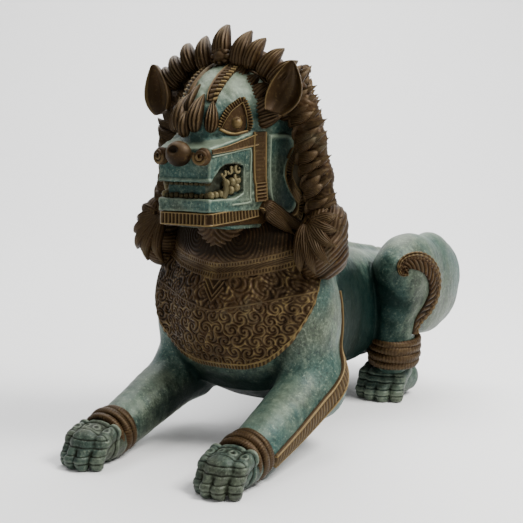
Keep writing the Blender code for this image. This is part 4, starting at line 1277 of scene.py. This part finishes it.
# Each tier of the ruff: y, how far its locks are moved up, how far they reach past the outline.
TIERS = [(.1480, .0060, -.0060), (.1530, .0, .0025), (.1640, .0070, .0025), (.1770, .0010, .0020),
         (.1920, .0080, .0010)]


def along_edge(edge, z):
    """How far out an edge of the ruff lies at this height."""
    edge = np.array(edge)
    return float(np.interp(z, edge[:, 0], edge[:, 1]))


def side_locks(side, edge):
    """The ruff beside the face: tiers of locks that sweep outward and end in small upturned points."""
    front, rear = [], []
    for layer, (y, shift, past) in enumerate(TIERS):
        reach = past - max(0, y - .150) * .596
        for k in range(14):
            z = .2260 + k * .0112 + shift + .0016 * math.sin(k * 2.9 + layer * 1.7)
            x = along_edge(edge, z) + reach + .0020 * math.sin(k * 4.1 + layer * 2.3)
            inner = along_edge(INNER_EDGE, z) - .0010 * layer
            drop = .0095 + .0045 * math.sin(k * 1.9 + layer * 1.3)
            root, tip = np.array((inner, y - .001, z - drop)), np.array((x, y + .002, z + .0020))
            mid = root + (tip - root) * .60 + np.array((0, -.0045, -.0030))
            lock = plume(root, mid, tip, .0064 + .0012 * math.sin(k * 2.3 + layer), .0048,
                         (.30 + .1 * layer, -1 + .2 * layer, .15), 8, rows=32, columns=60, blunt=.14)
            (front if layer < 2 else rear).append(lock)
    for k in range(10):
        z = .238 + k * .0118
        inner = along_edge(INNER_EDGE, z + .01) - .0035 + .0010 * (k % 2)
        front.append(plume((inner, .1540, z), (inner + .0030, .1480, z + .009),
                           (inner + .0105, .1470, z + .0190), .0036, .0045, (-.45, -1, 0), 3, rows=24,
                           columns=36, blunt=.25))
    piece(f"{side}_front_mane_locks", gather(front), BROWN, [f"{side}_mane_side"], mirror=side == "right")
    piece(f"{side}_rear_mane_locks", gather(rear), BROWN, [], mirror=side == "right")


def lobe(x, y, z):
    """The big curl at the foot of the mane."""
    main = egg(x, y, z, (.0930, .1580, .2060), (.0255, .0305, .0310))
    upper = egg(x, y, z, (.0960, .1600, .2300), (.0200, .0240, .0200))
    return smin(main, upper, .008)


# The locks that fan out from the curl's heart: angle in degrees, reach, y.
FAN = [(-82, .052, .1300), (-64, .057, .1280), (-46, .056, .1290), (-29, .050, .1320), (-12, .044, .1370),
       (8, .040, .1420)]


def lobes():
    """The big curl on each side, wound in folds round its heart, with a fan of locks over it."""
    points, faces, normals = skin(lobe, (.060, .118, .170), (.124, .194, .256), .0009, 2)
    heart = np.array((.0660, .1290, .2420))
    d = np.linalg.norm((points - heart) * (1.0, .8, 1.0), axis=1)
    turn = np.arctan2(points[:, 2] - heart[2], points[:, 0] - heart[0])
    fold = np.abs(np.sin(d / .0068 + turn * 1.1))
    fine = np.sin(d / .00052 + turn * 3 + lumps(points, .02, 30) * .8)
    move = (fold ** .6 - .7) * .0030 + fine * .00042
    parts = [(points + normals * move[:, None], faces, .10 + .26 * fold + .16 * fine)]
    for angle, reach, y in FAN:
        c, s = math.cos(angle * DEG), math.sin(angle * DEG)
        middle = (.0790 + c * reach * .62, y + .002, .2320 + s * reach * .62)
        tip = (.0735 + c * reach, y + .0085, .2340 + s * reach)
        parts.append(plume((.0830 + c * .006, .1430, .2300), middle, tip, .0085, .0068, (.35, -1, .05), 7,
                           rows=36))
    points, faces, wear_and_shading = gather(parts)
    points[:, 0] = np.minimum(points[:, 0], .1184)
    both_sides("mane_lobe", (points, faces, wear_and_shading), BROWN, ["mane_curl"])


def jaw_locks():
    """The locks that sweep from the corner of the jaw, under the cheek plate, to the big curl."""
    parts = []
    for root, middle, tip, width in (
            ((.0500, .1230, .2420), (.0560, .1350, .2320), (.0680, .1480, .2180), .0070),
            ((.0490, .1210, .2490), (.0545, .1350, .2400), (.0640, .1500, .2270), .0074),
            ((.0510, .1300, .2440), (.0585, .1440, .2335), (.0720, .1550, .2220), .0078),
            ((.0530, .1400, .2370), (.0630, .1500, .2290), (.0790, .1590, .2230), .0080),
            ((.0550, .1520, .2300), (.0650, .1580, .2260), (.0790, .1640, .2240), .0078)):
        parts.append(plume(root, middle, tip, width, .0056, (1, -.55, -.15), 7, columns=60, blunt=.20))
    both_sides("jaw_locks", gather(parts), BROWN, [])


def nape_locks():
    """Rows of locks that hang down the back of the mane. Where the crown stands in front, there are none."""
    parts = []
    for row, z in enumerate((.397, .388, .370, .350, .328, .305, .282, .258, .235, .214)):
        for a in np.arange(-75 + (row % 2) * 9, 76, 18.0):
            t = a * DEG
            spot = np.array([[.080 * math.sin(t), .165 + .070 * math.cos(t), z]])
            on, normal = onto(mane_core, spot, 8)
            on, normal = on[0], normal[0]
            if on[1] < float(np.interp(on[2], [.300, .350, .385], [.176, .166, .152])):
                continue
            down = np.array((0, 0, -1.0)) + normal * normal[2]
            down /= np.linalg.norm(down)
            parts.append(plume(on - down * .006, on + down * .010 + normal * .003,
                               on + down * .026 + normal * .0070, .0100, .0075, normal, 5, .0006, rows=24,
                               columns=44))
    points, faces, wear_and_shading = gather(parts)
    points[:, 1] = np.minimum(points[:, 1], .245)
    piece("nape_locks", (points, faces, wear_and_shading), BROWN, [])


def tail_lock():
    """The tuft at the end of the tail."""
    points, faces, wear_and_shading = plume((0, .5330, .1290), (0, .5385, .1010), (0, .5330, .0735), .0140, .0075,
                                (0, 1, .1), rows=40, blunt=.35)
    points[:, 1] = np.minimum(points[:, 1], .5448)
    piece("tail_lock", (points, faces, wear_and_shading), BROWN, ["tail_tuft"])


def mane():
    tail_lock()
    mane_base()
    crown()
    side_locks("left", LEFT_EDGE)
    side_locks("right", RIGHT_EDGE)
    lobes()
    jaw_locks()
    nape_locks()


# Chest plate and neck ---------------------------------------------------------------------------------

def neck_field(x, y, z):
    """The column under the chin, between the breast and the beard."""
    column = egg(x, y, z, (0, .160, .225), (.0465, .050, .060))
    return smax(smax(column, .196 - z, .004), z - .262, .004)


def neck_piece():
    """The neck, covered in curled hair: fine rings round one point on each side."""
    points, faces, normals = skin(neck_field, (-.066, .100, .190), (.066, .216, .266), .0013, 1)
    curls = np.sin(np.sqrt((np.abs(points[:, 0]) - .019) ** 2 + (points[:, 2] - .232) ** 2) / .00075)
    points = points + normals * (curls * .0006)[:, None]
    piece("neck_hair", (points, faces, .30 + curls * .14), BROWN, ["neck"])


def chest_form(x, y, z):
    """The breast that the plate lies on, carried up into the foot of the neck."""
    collar = smax(egg(x, y, z, (0, .1720, .2060), (.0740, .0560, .0480)), z - .2400, .010)
    return smin(green_body(x, y, z), collar, .014)


def chest_points(angle, z):
    """Where a level line from the lion's middle, at this angle from straight ahead, leaves the breast."""
    way = np.stack([np.sin(angle), -np.cos(angle), np.zeros_like(angle)], 1)
    foot = np.stack([np.zeros_like(z), np.full_like(z, .200), z], 1)
    reach = np.full_like(z, .150)
    for _ in range(60):
        p = foot + way * reach[:, None]
        reach = reach - np.clip(chest_form(*p.T), -.01, .01) * .3
    return foot + way * reach[:, None]


def spiral_field(a, z, pitch, cell, seed):
    """Scrolls that wind round scattered centres, each cell ringed by its own stem."""
    rng = np.random.default_rng(seed)
    i, j = np.meshgrid(np.arange(-14, 15), np.arange(-4, 24), indexing="ij")
    ca = ((i + (j % 2) * .5) * cell * 1.08 + rng.uniform(-.18, .18, i.shape) * cell).ravel()
    cz = (j * cell * .86 + .030 + rng.uniform(-.18, .18, i.shape) * cell).ravel()
    hand = np.where(rng.uniform(size=ca.size) < .5, -1.0, 1.0)
    turn = rng.uniform(0, 6.28, ca.size)
    best = np.full(a.shape, 9.0)
    second = np.full(a.shape, 9.0)
    spiral = np.zeros(a.shape)
    for x0, z0, h, t in zip(ca, cz, hand, turn):
        d = np.hypot(a - x0, z - z0)
        phi = np.arctan2(z - z0, a - x0)
        value = np.cos(2 * math.pi * d / pitch - h * phi * (1 + (d > pitch * .9) * 2) + t)
        near = d < best
        second = np.where(near, best, np.minimum(second, d))
        spiral = np.where(near, value, spiral)
        best = np.where(near, d, best)
    edge = np.clip(1 - (second - best) / (cell * .16), 0, 1)
    return spiral, edge


def wave(phase):
    """A sine from 0 to 1."""
    return .5 + .5 * np.sin(phase)


def leaf_relief(z, wide, stem):
    """Long leaves that rise from the stem and fold over, with fine veins."""
    q = np.clip((z - stem) / .028, 0, 2)
    vein = wide - .0170 * q ** .6 + .004 * q ** 2 + .0009 * np.sin(z / .0016)
    leaf = .5 + .5 * np.cos(vein / .00082)
    return np.clip(leaf ** .8 * (.22 + .66 * np.abs(np.sin(vein / .0062 + q * 1.3)) ** .8), 0, 1)


def collar_relief(z, wide, row):
    """The collar above the leaves, from the bottom up: a rope between two rows of beads, then curled hair."""
    rope = wave((wide * .9 + row * 1.8) / .00055)
    bead = wave(wide / .00050)
    swirl = np.hypot(wide - .0240, z - .2140)
    hair = .30 + .13 * np.sin(swirl / .00058 + 2.2 * np.sin(wide / .0075) + 1.4 * np.sin(z / .0046))
    bands = [(.0186, hair), (.0172, .66), (.0142, .25 + .50 * bead), (.0126, .70), (.0066, .20 + .58 * rope),
             (.0050, .72), (.0018, .25 + .52 * bead), (0, .70)]
    above = [row > foot for foot, value in bands]
    return np.select(above, [np.broadcast_to(value, z.shape) for foot, value in bands], 0)


def vee_relief(z, wide):
    """Nested chevrons in the middle of the leaves."""
    slant = z - wide * 1.35
    away = np.minimum(np.minimum(np.abs(slant - .1560), np.abs(slant - .1635)), np.abs(slant - .1505) * 1.3)
    return .18 + .82 * np.exp(-(away / .0010) ** 2)


def chest_relief(s, t, z, angle):
    """The plate's relief, 0 to 1, and how far each place is above the leaves.

    Scrolls cover the plate up to the stem, and wind among the leaves above it."""
    a = angle * .088
    wide = np.abs(a)
    spiral, edge = spiral_field(a, z, .0044, .0125, 5)
    curls, around = spiral_field(a * .8, z + wide * .35, .0052, .0175, 9)
    stem = .1435 + .0185 * (wide / .085) ** 1.1
    row = z - .1715 - .0150 * (wide / .080) ** 1.3
    leaf = leaf_relief(z, wide, stem)
    leaf = np.clip(.16 + .34 * leaf + .40 * curls * (.45 + .55 * leaf) + .22 * around, 0, 1)
    relief = np.where((z > stem) & (row < 0), leaf, np.clip(.42 + .38 * spiral + .25 * edge, 0, 1))
    line = .78 * np.exp(-((z - stem) / .0010) ** 2) + .45 * np.exp(-((z - stem + .0030) / .0008) ** 2)
    line = np.clip(line, 0, 1)
    relief = np.maximum(relief * (1 - .7 * line), line)
    middle = (wide < .0110) & (z > .1480 + wide * 1.35) & (row < 0)
    relief = np.where(middle, vee_relief(z, wide), relief)
    relief = np.where(row > 0, collar_relief(z, wide, row), relief)
    relief = np.where(t < .034, .35 + .55 * wave(wide / .00060 + t * 30), relief)
    relief = np.where((t > .034) & (t < .046), .95, relief)
    relief = np.where(np.abs(s) > .955, .35 + .5 * wave(z / .00060), relief)
    return relief, row


def chest_plate():
    """The plate on the breast, pointed below, laid round the front of the body with its rim sunk in."""
    columns, rows = 400, 246
    s, t = np.meshgrid(np.linspace(-1, 1, columns), np.linspace(0, 1, rows), indexing="xy")
    angle = s * 67 * DEG
    low = np.interp(np.abs(s), [0, .18, .31, .43, .51, .63, .72, .79, .88, .92, .97, 1],
                    [.0850, .0852, .0858, .0892, .0920, .1020, .1140, .1310, .1510, .1640, .1785, .1860])
    z = low + (.2290 - low) * t
    points = chest_points(angle.ravel(), z.ravel())
    normal = gradient(chest_form, points)[0]
    relief, row = chest_relief(s, t, z, angle)
    rim = (np.abs(s) > .999) | (t < .001) | (t > .999)
    rise = np.where(rim, -.0014, .0030 + .0016 * relief)
    points = points + normal * rise.ravel()[:, None]
    faces = turned_out(points, grid_faces(rows, columns), (0, -1, 0))
    # Painted light and shade: the plate's side towards the key lamp is painted lighter, and the curled hair
    # at its top, under the chin, is painted darker as the chin's shadow. The lumps are random tone.
    wear_and_shading = .02 + .90 * relief + .08 * np.clip(s * 1.5, -1, 1) - .34 * np.clip((row - .0190) / .008, 0, 1) \
        + (.09 * lumps(points, .034, 41) + .05 * lumps(points, .012, 42)).reshape(z.shape)
    piece("chest_plate", (points, faces, wear_and_shading.ravel()), BROWN, ["chest_bib"])


def chest():
    neck_piece()
    chest_plate()


# The studio -------------------------------------------------------------------------------------------

EYE_POINT = Vector((0.5848, -0.7809 + OFF, 0.322))
AZIMUTH, PITCH, ROLL = 30.8 * DEG, 7.0 * DEG, -0.52 * DEG
FLOOR_HALF, SWEEP_FRONT, SWEEP_FOOT, SWEEP_RADIUS, SWEEP_TOP = 4.5, -3.5, 1.6, 0.9, 4.0


def camera():
    """A long lens ahead of the lion and on its left, about level with its eyes, looking slightly down."""
    level = math.cos(PITCH)
    ahead = Vector((-math.sin(AZIMUTH) * level, math.cos(AZIMUTH) * level, -math.sin(PITCH)))
    right = ahead.cross(Vector((0, 0, 1))).normalized()
    up = right.cross(ahead)
    turn = Matrix.Rotation(ROLL, 3, ahead)
    right, up = turn @ right, turn @ up
    data = bpy.data.cameras.new("studio_camera")
    data.sensor_width = 36
    data.lens = 75.9
    data.clip_start = 0.01
    obj = bpy.data.objects.new("studio_camera", data)
    bpy.context.scene.collection.objects.link(obj)
    obj.matrix_world = Matrix.Translation(EYE_POINT) @ Matrix((right, up, -ahead)).transposed().to_4x4()
    bpy.context.scene.camera = obj


def lamp(name, place, aim, size, power, colour):
    """A square lamp that points at the aim."""
    data = bpy.data.lights.new(name, "AREA")
    data.shape = "SQUARE"
    data.size = size
    data.energy = power
    data.color = colour
    obj = bpy.data.objects.new(name, data)
    bpy.context.scene.collection.objects.link(obj)
    obj.location = place
    obj.rotation_euler = (Vector(aim) - Vector(place)).to_track_quat("-Z", "Y").to_euler()


def sweep():
    """The pale floor, which curves up into a wall behind the lion."""
    paint = Graph("pale_floor")
    paint.put(paint.shader["Base Color"], (0.86, 0.86, 0.86))
    paint.put(paint.shader["Roughness"], 0.9)
    profile = [(SWEEP_FRONT, 0.0), (SWEEP_FOOT, 0.0)]
    for t in np.linspace(0, math.pi / 2, 16)[1:]:
        profile.append((SWEEP_FOOT + SWEEP_RADIUS * math.sin(t), SWEEP_RADIUS - SWEEP_RADIUS * math.cos(t)))
    profile.append((SWEEP_FOOT + SWEEP_RADIUS, SWEEP_TOP))
    verts = [(x, y, z) for y, z in profile for x in (-FLOOR_HALF, FLOOR_HALF)]
    quads = [(2 * k, 2 * k + 1, 2 * k + 3, 2 * k + 2) for k in range(len(profile) - 1)]
    mesh = bpy.data.meshes.new("studio_floor")
    mesh.from_pydata(verts, [], quads)
    mesh.shade_smooth()
    mesh.materials.append(paint.material)
    floor = bpy.data.objects.new("studio_floor", mesh)
    bpy.context.scene.collection.objects.link(floor)
    floor.rotation_euler = (0, 0, AZIMUTH)


def studio():
    """The floor, a pale world, and three lamps: the key light, a weak one overhead, one on the wall."""
    sweep()
    world = bpy.data.worlds.new("studio_world")
    world.use_nodes = True
    background = world.node_tree.nodes["Background"].inputs
    background["Color"].default_value = (1.0, 1.0, 1.0, 1)
    background["Strength"].default_value = 0.46
    bpy.context.scene.world = world
    lamp("key_lamp", (0.95, 0.25 + OFF, 1.30), (0.0, 0.15 + OFF, 0.20), 0.60, 40, (1.0, 0.985, 0.955))
    lamp("top_lamp", (-0.1, 0.3 + OFF, 1.9), (0.0, 0.1 + OFF, 0.1), 1.1, 9, (0.985, 1.0, 1.0))
    lamp("sweep_lamp", (-0.6, 1.3, 2.6), (-1.2, 2.4, 0.6), 2.5, 130, (1.0, 1.0, 1.0))


body_skin()
fore_paw()
hind_paw()
cuffs()
haunch_flame()
elbow_fringe()
head()
mane()
chest()
camera()
studio()
